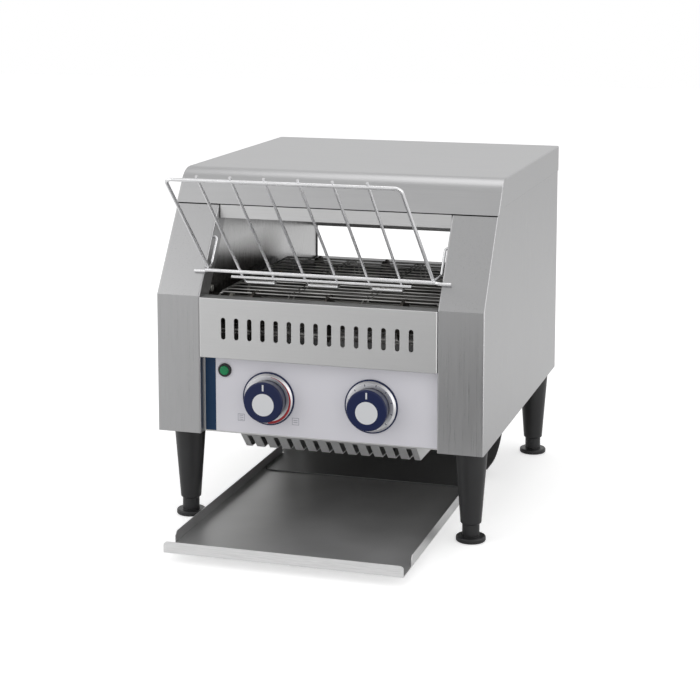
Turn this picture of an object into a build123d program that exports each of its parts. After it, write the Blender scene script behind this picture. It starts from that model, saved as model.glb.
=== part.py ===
from build123d import *
import os
from math import atan2, cos, degrees, radians, sin, tan

# Countertop conveyor toaster. Bread is laid on the wire rack at the front, rides through
# the heated chamber on a wire belt, drops behind it and slides forward down a curved
# chute onto the tray.
#
# Millimetres, +Z up, the front faces -Y, +X is on the right as seen from the front.
# The origin is the centre of the whole footprint, on the surface that the feet stand on.

os.makedirs("parts", exist_ok=True)

# ---------------------------------------------------------------- driving dimensions
# Casing
CASING_WIDTH = 368.0
CASING_DEPTH = 418.0
CASING_TOP = 387.0
UNDERSIDE = 105.0
HOUSING_WIDTH = 51.0
SHEET = 1.0
BASE_SHEET = 1.5
BEND = 1.6
SLANT_START = 258.0
SLANT_ANGLE = 34.2
FLANGE_DEPTH = 25.0
WALL_INSET = 15.0
WALL_FLANGE = 12.0
LID_FRONT_EDGE = 350.7
LID_SIDE_DEPTH = 30.6
LID_BEND = 28.0
LID_KNEE = 20.0

# What stands out of the casing
TRAY_REACH = 118.0
GLAND_REACH = 14.0

# Rear window and cover
WINDOW_LOW = 232.0
WINDOW_HIGH = 272.0
WINDOW_MARGIN = 1.5
REAR_VENT_COUNT = 5
REAR_VENT_PITCH = 7.5
REAR_VENT_WIDTH = 3.6
REAR_VENT_HEIGHT = 34.0
REAR_VENT_Z = 300.0

# Heater hood
HOOD_INSET = 63.7
HOOD_LOW = 334.7
HOOD_TOP = 364.0
HOOD_OVERHANG = 45.0
HOOD_LIP = 8.0

# Front vent panel
VENT_PROUD = 2.0
VENT_LOW = 191.0
VENT_HIGH = 257.0
VENT_LEDGE = 16.0
VENT_RETURN = 22.0
VENT_SLOTS = 15
VENT_PITCH = 15.0
VENT_SLOT_WIDTH = 5.2
VENT_SLOT_HEIGHT = 24.0
VENT_SLOT_Z = 224.2

# Control panel
PANEL_RECESS = 12.0
PANEL_FLANGE = 10.0
FILM = 0.3
FILM_MARGIN = 1.5
BOX_DEPTH = 77.0
KNOB_INSET = 75.0
KNOB_Z = 147.0
LAMP_INSET = 24.5
LAMP_Z = 175.2

# Slotted vent box under the control panel
GUARD_WIDTH = 199.0
GUARD_CENTRE = 8.0
GUARD_DROP = 19.0
GUARD_SLOPE_RUN = 19.0
GUARD_LENGTH = 73.0
GUARD_SLOTS = 13
GUARD_PITCH = 15.0
GUARD_SLOT_WIDTH = 5.8
GUARD_SLOT_MARGIN = 2.5
GUARD_SLOT_RUN = 12.0

# Knobs
BEZEL_RADIUS = 29.5
BEZEL_RIM = 1.4
BEZEL_HEIGHT = 4.2
BEZEL_BEVEL = 2.4
BEZEL_FLOOR = 1.5
KNOB_RADIUS = 22.6
KNOB_BASE = 20.4
KNOB_HEIGHT = 19.5
KNOB_WALL = 2.6
KNOB_FACE = 3.2
SPINDLE_RADIUS = 3.0
SPINDLE_GRIP = 11.0
POINTER_LENGTH = 6.0
POINTER_WIDTH = 1.8

# Indicator lamp
LAMP_RIM = 7.5
LAMP_BARREL = 4.8
LAMP_LENS = 5.2
LAMP_DEPTH = 22.0

# Legs and levelling feet
LEG_INSET_X = 22.5
LEG_INSET_FRONT = 40.0
LEG_INSET_BACK = 28.0
LEG_TOP_RADIUS = 17.8
LEG_LOW_RADIUS = 11.3
LEG_LOW = 19.6
FOOT_RADIUS = 16.2
FOOT_THICK = 5.6
FOOT_NECK = 9.4
FOOT_STUD = 4.0
FOOT_STUD_TOP = 52.0
BOLT_RADIUS = 4.0
BOLT_DEPTH = 28.0

# Belt: cross wires hooked into one another, driven by toothed wheels
BELT_PITCH = 17.5
BELT_ROOM = 190.0
BELT_TEETH = 8
BELT_Z = 255.0
BELT_MARGIN = 8.0
BELT_WIRE = 1.1
BELT_JOINTS = (-42.0, 42.0)
BELT_HOOK = 3.0
BELT_BEND = 1.7
BELT_LINK = 0.9
FRONT_SHAFT_INSET = 46.0
SHAFT_RADIUS = 4.0
SHAFT_OVERRUN = 7.0
WHEEL_THICK = 3.0
WHEEL_TOOTH = 3.0
WHEEL_HUB_RADIUS = 8.5
WHEEL_HUB_LENGTH = 14.0
WHEEL_INSET = 40.0
BUSH_RADIUS = 6.0
BUSH_FLANGE = 9.0

# Drive in the right-hand housing
CHAIN_PITCH = 6.35
CHAIN_SPANS = 13
CHAIN_TEETH = 12
CHAIN_ROLLER = 1.6
CHAIN_ROLLER_WIDTH = 3.0
CHAIN_PLATE = 0.8
CHAIN_PLATE_HEIGHT = 4.6
CHAIN_WALL_GAP = 35.0
MOTOR_RADIUS = 30.0
MOTOR_LENGTH = 24.0
MOTOR_SHAFT = 3.5
MOTOR_BOSS = 8.0

# Heaters
HEATER_RADIUS = 5.0
HEATER_REACH = 15.0
HEATER_SPREAD = 0.264
HEATER_COUNT = 3
UPPER_HEATER_Z = 346.0
LOWER_HEATER_Z = 236.0
CAP_RADIUS = 7.0
CAP_LENGTH = 24.0
CAP_INSIDE = 3.0
REFLECTOR_Z = 214.0
REFLECTOR_EDGE = 8.0

# Chute and tray
DROP_GAP = 70.5
CHUTE_RADIUS = 80.0
CHUTE_MARGIN = 2.5
TONGUE_MARGIN = 3.5
TONGUE_LENGTH = 105.0
TRAY_MARGIN = 4.0
TRAY_LENGTH = 377.0
TRAY_LOW = 10.0
TRAY_WALL = 12.0
TRAY_FRONT_GAP = 31.5
TRAY_CORNER = 4.0
TRAY_CLEARANCE = 0.6
GLIDE_RADIUS = 8.0
GLIDE_INSET = 25.0
GLIDE_FRONT = 75.0

# Loading rack: bent and welded wire
RACK_WIRE = 1.9
RACK_THIN = 1.5
RACK_INSET = 6.5
RACK_Z = 286.0
RACK_LEAN = 43.7
RACK_LENGTH = 166.0
RACK_MARGIN = 7.5
RACK_TAPER = 2.0
RACK_CORNER = 7.0
RACK_NUB = 3.0
RACK_PITCH = 35.8
RACK_WIRES = 6
RACK_TOP_PROUD = 3.0
RACK_SECOND = 11.0
RACK_SECOND_INSET = 24.5
RACK_HAIRPIN = 24.5
RACK_EAR = 18.5
HOOK_Z = 316.0
HOOK_MARGIN = 3.5
HOOK_INSET = 6.3
HOOK_LENGTH = 9.0
HOOK_BEND = 3.0
WELD = 0.3

# Clearances
RUNNING = 0.06
SEAT = 0.1
APART = 0.3

# Screws
SCREW_RADIUS = 2.0
SCREW_HEAD = 3.8
SCREW_HEAD_HEIGHT = 2.0
SCREW_LENGTH = 8.0
WALL_SCREW_INSET = 37.5
WALL_SCREW_Z = 260.0
COVER_SCREW_ROWS = (124.0, 214.0, 300.0, 340.0)
LID_SCREW_INSET = 64.0

# Electrical pieces
TERMINAL_SIZE = (26.0, 44.0, 20.0)
GLAND_INSET = 20.5
GLAND_Z = 135.0
GLAND_RADIUS = 8.0
GLAND_NUT = 11.5
GLAND_BORE = 4.2
SWITCH_SIZE = 42.0
SWITCH_DEPTH = 32.0
SPEED_RADIUS = 17.0
SPEED_DEPTH = 14.0
SPEED_BOARD = (54.0, 60.0)
BOARD_THICK = 1.6

# ---------------------------------------------------------------- places worked out
OVERALL_DEPTH = TRAY_REACH + CASING_DEPTH + GLAND_REACH
FRONT = TRAY_REACH - OVERALL_DEPTH / 2
BACK = FRONT + CASING_DEPTH
HALF_WIDTH = CASING_WIDTH / 2
SIDE = HALF_WIDTH - SHEET
OPENING = HALF_WIDTH - HOUSING_WIDTH
WALL = OPENING + SHEET
WALL_OUT = WALL + SHEET
ROOF = CASING_TOP - SHEET
FLOOR = UNDERSIDE + BASE_SHEET
LID_SIDE_EDGE = CASING_TOP - LID_SIDE_DEPTH
SLOPE = tan(radians(SLANT_ANGLE))
LEAN = 1 / cos(radians(SLANT_ANGLE))
PAST = 1.0

KNOB_X = OPENING - KNOB_INSET
LAMP_X = -(OPENING - LAMP_INSET)
GLAND_X = -(HALF_WIDTH - GLAND_INSET)
LID_SCREW_X = (-(HALF_WIDTH - LID_SCREW_INSET), 0.0, HALF_WIDTH - LID_SCREW_INSET)
LID_SCREW_Z = CASING_TOP - LID_SIDE_DEPTH * 2 / 3

BELT_HALF = OPENING - BELT_MARGIN
BELT_SPANS = int((CASING_DEPTH - BELT_ROOM) // BELT_PITCH)
WHEEL_SPACING = BELT_HALF - WHEEL_INSET
BELT_WHEEL_RADIUS = BELT_PITCH / (2 * sin(radians(180 / BELT_TEETH)))
SHAFT_Z = BELT_Z - BELT_WHEEL_RADIUS
FRONT_SHAFT_Y = FRONT + FRONT_SHAFT_INSET
REAR_SHAFT_Y = FRONT_SHAFT_Y + BELT_SPANS * BELT_PITCH

CHAIN_WHEEL_RADIUS = CHAIN_PITCH / (2 * sin(radians(180 / CHAIN_TEETH)))
CHAIN_X = WALL_OUT + CHAIN_WALL_GAP
MOTOR_Z = SHAFT_Z - CHAIN_SPANS * CHAIN_PITCH

CHUTE_BACK = REAR_SHAFT_Y + BELT_WHEEL_RADIUS + BELT_WIRE + DROP_GAP
CHUTE_KNEE = CHUTE_BACK - CHUTE_RADIUS
TRAY_HALF = OPENING - TRAY_MARGIN
TONGUE_HALF = TRAY_HALF - TONGUE_MARGIN
CHUTE_HALF = WALL - CHUTE_MARGIN
TRAY_FRONT = FRONT - TRAY_REACH
TRAY_BACK = TRAY_FRONT + TRAY_LENGTH
CHUTE_LOW = TRAY_LOW + SHEET + TRAY_CLEARANCE

VENT_FACE = FRONT - VENT_PROUD
PANEL_FACE = FRONT + PANEL_RECESS
PANEL_BACK = PANEL_FACE + SHEET
PANEL_TOP = VENT_LOW - SHEET
BOX_BACK = PANEL_BACK + BOX_DEPTH
FILM_FACE = PANEL_FACE - FILM
GUARD_LEFT = GUARD_CENTRE - GUARD_WIDTH / 2
GUARD_RIGHT = GUARD_CENTRE + GUARD_WIDTH / 2
GUARD_LOW = UNDERSIDE - GUARD_DROP

RACK_HALF_LOW = OPENING - RACK_MARGIN
RACK_HALF_TOP = RACK_HALF_LOW - RACK_TAPER
RACK_SECOND_HALF = RACK_HALF_LOW - RACK_SECOND_INSET

HEATER_HALF = WALL + HEATER_REACH
HEATER_PITCH = BELT_SPANS * BELT_PITCH * HEATER_SPREAD
HEATER_MIDDLE = (FRONT_SHAFT_Y + REAR_SHAFT_Y) / 2
HEATER_STEPS = [i - (HEATER_COUNT - 1) / 2 for i in range(HEATER_COUNT)]
HEATER_ROWS = [HEATER_MIDDLE + step * HEATER_PITCH for step in HEATER_STEPS]
HEATER_PLACES = [(y, z) for z in (UPPER_HEATER_Z, LOWER_HEATER_Z) for y in HEATER_ROWS]
LEG_PLACES = {
    "front_left": (-(HALF_WIDTH - LEG_INSET_X), FRONT + LEG_INSET_FRONT),
    "front_right": (HALF_WIDTH - LEG_INSET_X, FRONT + LEG_INSET_FRONT),
    "rear_left": (-(HALF_WIDTH - LEG_INSET_X), BACK - LEG_INSET_BACK),
    "rear_right": (HALF_WIDTH - LEG_INSET_X, BACK - LEG_INSET_BACK),
}


def slant_y(z, inset=0.0):
    """Y of the leaning front face at height z, moved back square to the face by inset."""
    return FRONT + (z - SLANT_START) * SLOPE + inset * LEAN


def casing_outline(inset, low, high, back):
    """Side view of the casing: upright front, leaning front, top and back."""
    knee = SLANT_START - inset * tan(radians(SLANT_ANGLE / 2))
    front = FRONT + inset
    return [(front, low), (front, knee), (slant_y(high, inset), high), (back, high), (back, low)]


HOOK_Y = slant_y(HOOK_Z, HOOK_INSET)
HOOK_X = OPENING - HOOK_MARGIN


# ---------------------------------------------------------------- small tools
def block(x, y, z, mode=Mode.ADD):
    """A box between two limits along each axis."""
    with Locations(((x[0] + x[1]) / 2, (y[0] + y[1]) / 2, (z[0] + z[1]) / 2)):
        Box(x[1] - x[0], y[1] - y[0], z[1] - z[0], mode=mode)


def rod_x(radius, x, y, z, mode=Mode.ADD):
    """A round bar along X between two limits."""
    with Locations(Location(((x[0] + x[1]) / 2, y, z), (0, 90, 0))):
        Cylinder(radius, x[1] - x[0], mode=mode)


def rod_y(radius, x, y, z, mode=Mode.ADD):
    """A round bar along Y between two limits."""
    with Locations(Location((x, (y[0] + y[1]) / 2, z), (90, 0, 0))):
        Cylinder(radius, y[1] - y[0], mode=mode)


def rod_z(radius, x, y, z, mode=Mode.ADD):
    """A round bar along Z between two limits."""
    with Locations((x, y, (z[0] + z[1]) / 2)):
        Cylinder(radius, z[1] - z[0], mode=mode)


def bent_wire(points, radius, bend):
    """A round wire through the points, bent at each one between the ends."""
    with BuildLine() as path:
        if len(points) > 2:
            FilletPolyline(*points, radius=bend)
        else:
            Line(*points)
    with BuildPart() as wire:
        for run in path.edges():
            start, along = run @ 0, run % 0
            with BuildSketch(Plane(origin=start, z_dir=along)):
                Circle(radius)
            if run.geom_type == GeomType.LINE:
                extrude(amount=run.length)
            else:
                turn = (start - run.arc_center).cross(along)
                revolve(axis=Axis(run.arc_center, turn), revolution_arc=degrees(run.length / bend))
    return wire.part


def keep(piece, name):
    """Label a finished piece and write its file."""
    piece.part.label = name
    export_step(piece.part, f"parts/{name}.step")


# ---------------------------------------------------------------- casing
def side_housing():
    """Folded housing on the right of the opening: side, front and inner flange."""
    with BuildPart() as housing:
        with BuildSketch(Plane.YZ.offset(OPENING)):
            with BuildLine():
                Polyline(*casing_outline(0, UNDERSIDE, ROOF, BACK), close=True)
            make_face()
            crown = vertices().group_by(Axis.Y)[-1].sort_by(Axis.X)[0]
            chamfer(crown, length=LID_BEND * tan(radians(90 - SLANT_ANGLE) / 2))
        extrude(amount=SIDE - OPENING)
        facing = faces().filter_by(lambda face: face.normal_at().Y < -0.5)
        fronts = facing.filter_by(lambda face: face.center().Z < LID_SIDE_EDGE)
        folds = fronts.edges().filter_by(lambda edge: abs(edge.tangent_at(0.5).X) < 0.1)
        fillet(folds, radius=BEND)
        with BuildSketch(Plane.YZ.offset(OPENING + SHEET)):
            with BuildLine():
                Polyline(*casing_outline(SHEET, UNDERSIDE - PAST, ROOF + PAST, BACK + PAST), close=True)
            make_face()
        extrude(amount=SIDE - OPENING - 2 * SHEET, mode=Mode.SUBTRACT)
        with BuildSketch(Plane.YZ.offset(OPENING - PAST)):
            with BuildLine():
                outline = casing_outline(FLANGE_DEPTH, UNDERSIDE - PAST, ROOF + PAST, BACK + PAST)
                Polyline(*outline, close=True)
            make_face()
        extrude(amount=SHEET + PAST, mode=Mode.SUBTRACT)
        rod_x(RACK_THIN + RUNNING, (OPENING - PAST, WALL + PAST), HOOK_Y, HOOK_Z, Mode.SUBTRACT)
    return housing.part


with BuildPart() as right_side_housing:
    add(side_housing())
keep(right_side_housing, "right_side_housing")

with BuildPart() as left_side_housing:
    mirror(right_side_housing.part, about=Plane.YZ)
keep(left_side_housing, "left_side_housing")

# Top cover: a folded tray turned over, resting on the housings and the inner walls.
with BuildPart() as top_cover:
    with BuildSketch(Plane.YZ.offset(-HALF_WIDTH)):
        with BuildLine():
            Polyline(
                (slant_y(LID_FRONT_EDGE, -SHEET), LID_FRONT_EDGE),
                (slant_y(CASING_TOP, -SHEET), CASING_TOP),
                (BACK + SHEET, CASING_TOP),
                (BACK + SHEET, LID_SIDE_EDGE),
                (slant_y(LID_SIDE_EDGE) + LID_KNEE, LID_SIDE_EDGE),
                close=True,
            )
        make_face()
        fillet(vertices().group_by(Axis.Y)[-1].sort_by(Axis.X)[0], radius=LID_BEND)
    extrude(amount=CASING_WIDTH)
    ends = faces().filter_by(Axis.X)
    fillet(ends.edges().filter_by(lambda edge: edge.center().Z > LID_SIDE_EDGE + PAST), radius=BEND)
    with BuildSketch(Plane.YZ.offset(-SIDE)):
        with BuildLine():
            Polyline(
                (slant_y(UNDERSIDE), UNDERSIDE),
                (slant_y(ROOF), ROOF),
                (BACK, ROOF),
                (BACK, UNDERSIDE),
                close=True,
            )
        make_face()
        fillet(vertices().group_by(Axis.Y)[-1].sort_by(Axis.X)[0], radius=LID_BEND - SHEET)
    extrude(amount=2 * SIDE, mode=Mode.SUBTRACT)
    for x in LID_SCREW_X:
        depth = (BACK - PAST, BACK + SHEET + PAST)
        rod_y(SCREW_RADIUS + SEAT, x, depth, LID_SCREW_Z, Mode.SUBTRACT)
keep(top_cover, "top_cover")

# Inner walls: they carry the shafts, the heaters and the hood.
with BuildPart() as right_inner_wall:
    with BuildSketch(Plane.YZ.offset(WALL)):
        with BuildLine():
            Polyline(*casing_outline(WALL_INSET, FLOOR, ROOF, BACK - SHEET), close=True)
        make_face()
    extrude(amount=SHEET)
    block((WALL_OUT, WALL_OUT + WALL_FLANGE), (FRONT + WALL_INSET, BACK - SHEET), (FLOOR, FLOOR + SHEET))
    block((WALL_OUT, WALL_OUT + WALL_FLANGE), (slant_y(ROOF, WALL_INSET), BACK - SHEET), (ROOF - SHEET, ROOF))
    block((WALL_OUT, WALL_OUT + WALL_FLANGE), (BACK - 2 * SHEET, BACK - SHEET), (FLOOR, ROOF))
    for y in (FRONT_SHAFT_Y, REAR_SHAFT_Y):
        rod_x(BUSH_RADIUS + SEAT, (WALL - PAST, WALL_OUT + PAST), y, SHAFT_Z, Mode.SUBTRACT)
    for y, z in HEATER_PLACES:
        rod_x(CAP_RADIUS + SEAT, (WALL - PAST, WALL_OUT + PAST), y, z, Mode.SUBTRACT)
    hole = (WALL - PAST, WALL_OUT + PAST)
    rod_x(SCREW_RADIUS + SEAT, hole, FRONT + WALL_SCREW_INSET, WALL_SCREW_Z, Mode.SUBTRACT)
    for z in COVER_SCREW_ROWS:
        screw_x = WALL_OUT + WALL_FLANGE / 2
        rod_y(SCREW_RADIUS + SEAT, screw_x, (BACK - 3 * SHEET, BACK), z, Mode.SUBTRACT)
keep(right_inner_wall, "right_inner_wall")

with BuildPart() as left_inner_wall:
    mirror(right_inner_wall.part, about=Plane.YZ)
keep(left_inner_wall, "left_inner_wall")

# Base plates: they close each housing below and take the legs.
with BuildPart() as right_base_plate:
    block((WALL, SIDE - SHEET), (FRONT + SHEET, BACK - SHEET), (UNDERSIDE, FLOOR))
    upright_x = (SIDE - SHEET - BASE_SHEET, SIDE - SHEET)
    upright_y = (FRONT + SHEET, BACK - 2 * SHEET - WALL_FLANGE)
    block(upright_x, upright_y, (FLOOR, FLOOR + WALL_FLANGE))
    for name in ("front_right", "rear_right"):
        rod_z(BOLT_RADIUS + SEAT, *LEG_PLACES[name], (UNDERSIDE - PAST, FLOOR + PAST), Mode.SUBTRACT)
keep(right_base_plate, "right_base_plate")

with BuildPart() as left_base_plate:
    mirror(right_base_plate.part, about=Plane.YZ)
keep(left_base_plate, "left_base_plate")

# Rear cover with the open window behind the belt, side vents and the hole for the gland.
with BuildPart() as rear_cover:
    block((-(SIDE - SHEET), SIDE - SHEET), (BACK - SHEET, BACK), (UNDERSIDE, ROOF))
    for side in (-1, 1):
        edge = sorted((side * (SIDE - SHEET), side * (SIDE - 2 * SHEET)))
        block(edge, (BACK - SHEET - WALL_FLANGE, BACK - SHEET), (FLOOR, ROOF))
        for i in range(REAR_VENT_COUNT):
            vent_middle = (WALL_OUT + WALL_FLANGE + SIDE) / 2
            vent_x = side * (vent_middle + (i - (REAR_VENT_COUNT - 1) / 2) * REAR_VENT_PITCH)
            with BuildSketch(Plane.XZ.offset(-BACK - PAST)):
                with Locations((vent_x, REAR_VENT_Z)):
                    SlotOverall(REAR_VENT_HEIGHT, REAR_VENT_WIDTH, rotation=90)
            extrude(amount=SHEET + 2 * PAST, mode=Mode.SUBTRACT)
        for z in COVER_SCREW_ROWS:
            screw_x = side * (WALL_OUT + WALL_FLANGE / 2)
            rod_y(SCREW_RADIUS + SEAT, screw_x, (BACK - 2 * SHEET, BACK + PAST), z, Mode.SUBTRACT)
    window = WALL - WINDOW_MARGIN
    block((-window, window), (BACK - SHEET - PAST, BACK + PAST), (WINDOW_LOW, WINDOW_HIGH), Mode.SUBTRACT)
    for x in LID_SCREW_X:
        depth = (BACK - SHEET - PAST, BACK + PAST)
        rod_y(SCREW_RADIUS + SEAT, x, depth, LID_SCREW_Z, Mode.SUBTRACT)
    rod_y(GLAND_RADIUS + SEAT, GLAND_X, (BACK - SHEET - PAST, BACK + PAST), GLAND_Z, Mode.SUBTRACT)
keep(rear_cover, "rear_cover")

# Heater hood: reflector over the upper heaters, its front strip shows under the top cover.
with BuildPart() as heater_hood:
    hood_front = FRONT + HOOD_INSET
    hood_back = REAR_SHAFT_Y + HOOD_OVERHANG
    for inset, reach, mode in ((0, 0, Mode.ADD), (SHEET, PAST, Mode.SUBTRACT)):
        front = hood_front + inset
        knee = SLANT_START + (front - FRONT - (SEAT + inset) * LEAN) / SLOPE
        with BuildSketch(Plane.YZ.offset(-OPENING)):
            with BuildLine():
                Polyline(
                    (front, HOOD_LOW - reach),
                    (front, knee),
                    (slant_y(HOOD_TOP - inset, SEAT + inset), HOOD_TOP - inset),
                    (hood_back - inset, HOOD_TOP - inset),
                    (hood_back - inset, HOOD_LOW - reach),
                    close=True,
                )
            make_face()
        extrude(amount=2 * OPENING, mode=mode)
    block((-OPENING, OPENING), (hood_front + SHEET, hood_front + HOOD_LIP), (HOOD_LOW, HOOD_LOW + SHEET))
keep(heater_hood, "heater_hood")

# Front vent panel: fifteen upright slots, ledge at the top, return at the bottom.
with BuildPart() as front_vent_panel:
    block((-OPENING, OPENING), (VENT_FACE, FRONT + VENT_RETURN), (VENT_LOW, VENT_HIGH))
    fillet(edges().filter_by(Axis.Z).group_by(Axis.Y)[0], radius=BEND)
    fillet(edges().filter_by(Axis.X).group_by(Axis.Y)[0], radius=BEND / 2)
    inside = (-(OPENING - SHEET), OPENING - SHEET)
    hollow = (VENT_FACE + SHEET, FRONT + VENT_RETURN + PAST)
    block(inside, hollow, (VENT_LOW + SHEET, VENT_HIGH - SHEET), Mode.SUBTRACT)
    beyond = (FRONT + VENT_LEDGE, FRONT + VENT_RETURN + PAST)
    block((-OPENING, OPENING), beyond, (VENT_HIGH - SHEET, VENT_HIGH), Mode.SUBTRACT)
    with BuildSketch(Plane.XZ.offset(-VENT_FACE - SHEET - PAST)):
        with Locations((0, VENT_SLOT_Z)):
            with GridLocations(VENT_PITCH, 0, VENT_SLOTS, 1):
                SlotOverall(VENT_SLOT_HEIGHT, VENT_SLOT_WIDTH, rotation=90)
    extrude(amount=SHEET + 2 * PAST, mode=Mode.SUBTRACT)
keep(front_vent_panel, "front_vent_panel")

# ---------------------------------------------------------------- controls
# Control panel, set back under the vent panel.
with BuildPart() as control_panel:
    block((-OPENING, OPENING), (PANEL_FACE, PANEL_BACK), (UNDERSIDE, PANEL_TOP))
    for low, high in ((UNDERSIDE, UNDERSIDE + SHEET), (PANEL_TOP - SHEET, PANEL_TOP)):
        block((-OPENING + SHEET, OPENING - SHEET), (PANEL_BACK, PANEL_BACK + PANEL_FLANGE), (low, high))
    for x in (-KNOB_X, KNOB_X):
        rod_y(SPINDLE_RADIUS + APART, x, (PANEL_FACE - PAST, PANEL_BACK + PAST), KNOB_Z, Mode.SUBTRACT)
    rod_y(LAMP_BARREL + SEAT, LAMP_X, (PANEL_FACE - PAST, PANEL_BACK + PAST), LAMP_Z, Mode.SUBTRACT)
keep(control_panel, "control_panel")

# Printed film that covers the panel.
with BuildPart() as control_panel_film:
    film_half = OPENING - FILM_MARGIN
    film_z = (UNDERSIDE + FILM_MARGIN, PANEL_TOP - FILM_MARGIN)
    block((-film_half, film_half), (FILM_FACE, PANEL_FACE), film_z)
    for x in (-KNOB_X, KNOB_X):
        rod_y(SPINDLE_RADIUS + APART, x, (FILM_FACE - PAST, PANEL_FACE + PAST), KNOB_Z, Mode.SUBTRACT)
    rod_y(LAMP_BARREL + SEAT, LAMP_X, (FILM_FACE - PAST, PANEL_FACE + PAST), LAMP_Z, Mode.SUBTRACT)
keep(control_panel_film, "control_panel_film")

# Box behind the panel that keeps the heat of the chamber off the controls.
with BuildPart() as control_box:
    block((-OPENING, OPENING), (PANEL_BACK, BOX_BACK), (UNDERSIDE, VENT_LOW))
    inside = (-(OPENING - SHEET), OPENING - SHEET)
    block(inside, (PANEL_BACK - PAST, BOX_BACK - SHEET), (UNDERSIDE + SHEET, PANEL_TOP), Mode.SUBTRACT)
    hollow = (PANEL_BACK - PAST, PANEL_BACK + PANEL_FLANGE)
    block(inside, hollow, (UNDERSIDE - PAST, UNDERSIDE + SHEET), Mode.SUBTRACT)
    vent_x = (GUARD_LEFT + PANEL_FLANGE, GUARD_RIGHT - PANEL_FLANGE)
    vent_y = (PANEL_BACK + GUARD_SLOPE_RUN, PANEL_BACK + GUARD_LENGTH - PANEL_FLANGE)
    block(vent_x, vent_y, (UNDERSIDE - PAST, UNDERSIDE + SHEET + PAST), Mode.SUBTRACT)
keep(control_box, "control_box")

# Slotted vent box under the control box, its front leans back and down.
with BuildPart() as underside_vent_guard:
    with BuildSketch(Plane.YZ.offset(GUARD_LEFT)):
        with BuildLine():
            Polyline(
                (PANEL_BACK, UNDERSIDE),
                (PANEL_BACK + GUARD_SLOPE_RUN, GUARD_LOW),
                (PANEL_BACK + GUARD_LENGTH, GUARD_LOW),
                (PANEL_BACK + GUARD_LENGTH, UNDERSIDE),
                close=True,
            )
        make_face()
    extrude(amount=GUARD_WIDTH)
    slope_angle = atan2(GUARD_DROP, GUARD_SLOPE_RUN)
    skin = SHEET / sin(slope_angle)
    foot = SHEET * tan(slope_angle / 2)
    with BuildSketch(Plane.YZ.offset(GUARD_LEFT + SHEET)):
        with BuildLine():
            Polyline(
                (PANEL_BACK + skin, UNDERSIDE),
                (PANEL_BACK + GUARD_SLOPE_RUN + foot, GUARD_LOW + SHEET),
                (PANEL_BACK + GUARD_LENGTH - SHEET, GUARD_LOW + SHEET),
                (PANEL_BACK + GUARD_LENGTH - SHEET, UNDERSIDE),
                close=True,
            )
        make_face()
    extrude(amount=GUARD_WIDTH - 2 * SHEET, mode=Mode.SUBTRACT)
    slot_y = (PANEL_BACK - PAST, PANEL_BACK + GUARD_SLOPE_RUN + GUARD_SLOT_RUN)
    slot_z = (GUARD_LOW - PAST, UNDERSIDE - GUARD_SLOT_MARGIN)
    slot_middle = ((slot_y[0] + slot_y[1]) / 2, (slot_z[0] + slot_z[1]) / 2)
    with Locations((GUARD_CENTRE, *slot_middle)):
        with GridLocations(GUARD_PITCH, 0, GUARD_SLOTS, 1):
            Box(GUARD_SLOT_WIDTH, slot_y[1] - slot_y[0], slot_z[1] - slot_z[0], mode=Mode.SUBTRACT)
keep(underside_vent_guard, "underside_vent_guard")


def knob_bezel(x):
    """Fixed scale ring round a knob: thin rim, bevelled ring and recessed floor."""
    with BuildPart() as bezel:
        rod_y(BEZEL_RADIUS, x, (FILM_FACE - BEZEL_RIM, FILM_FACE), KNOB_Z)
        ring = BEZEL_RADIUS - BEZEL_RIM
        rod_y(ring, x, (FILM_FACE - BEZEL_HEIGHT, FILM_FACE - BEZEL_RIM), KNOB_Z)
        chamfer(edges().group_by(Axis.Y)[0], length=BEZEL_BEVEL)
        recess = KNOB_BASE + 1
        rim = FILM_FACE - BEZEL_HEIGHT
        rod_y(recess, x, (rim - PAST, FILM_FACE - BEZEL_FLOOR), KNOB_Z, Mode.SUBTRACT)
        rod_y(SPINDLE_RADIUS + APART, x, (rim, FILM_FACE + PAST), KNOB_Z, Mode.SUBTRACT)
    return bezel


def control_knob(x):
    """Hollow knob, a little wider at its face, with a raised pointer at the top."""
    base = FILM_FACE - BEZEL_FLOOR - APART
    face = FILM_FACE - KNOB_HEIGHT
    with BuildPart() as knob:
        with Locations(Location((x, (face + base) / 2, KNOB_Z), (90, 0, 0))):
            Cone(KNOB_BASE, KNOB_RADIUS, base - face)
        fillet(edges().group_by(Axis.Y)[0], radius=BEND)
        rod_y(KNOB_BASE - KNOB_WALL, x, (face + KNOB_FACE, base + PAST), KNOB_Z, Mode.SUBTRACT)
        rod_y(SPINDLE_RADIUS + KNOB_WALL, x, (face + KNOB_FACE, base), KNOB_Z)
        rod_y(SPINDLE_RADIUS + RUNNING / 2, x, (base - SPINDLE_GRIP, base + PAST), KNOB_Z, Mode.SUBTRACT)
        tip = KNOB_Z + KNOB_RADIUS - 2 * BEND
        block(
            (x - POINTER_WIDTH / 2, x + POINTER_WIDTH / 2),
            (face - FILM, face + FILM),
            (tip - POINTER_LENGTH, tip),
        )
    return knob


def control_spindle(x):
    """Spindle from the control's body into the knob."""
    base = FILM_FACE - BEZEL_FLOOR - APART
    with BuildPart() as spindle:
        rod_y(SPINDLE_RADIUS, x, (base - SPINDLE_GRIP + APART, PANEL_BACK + SPINDLE_GRIP), KNOB_Z)
    return spindle


keep(knob_bezel(-KNOB_X), "heat_knob_bezel")
keep(knob_bezel(KNOB_X), "speed_knob_bezel")
keep(control_knob(-KNOB_X), "heat_knob")
keep(control_knob(KNOB_X), "speed_knob")
keep(control_spindle(-KNOB_X), "heat_switch_spindle")
keep(control_spindle(KNOB_X), "speed_control_spindle")

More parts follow.
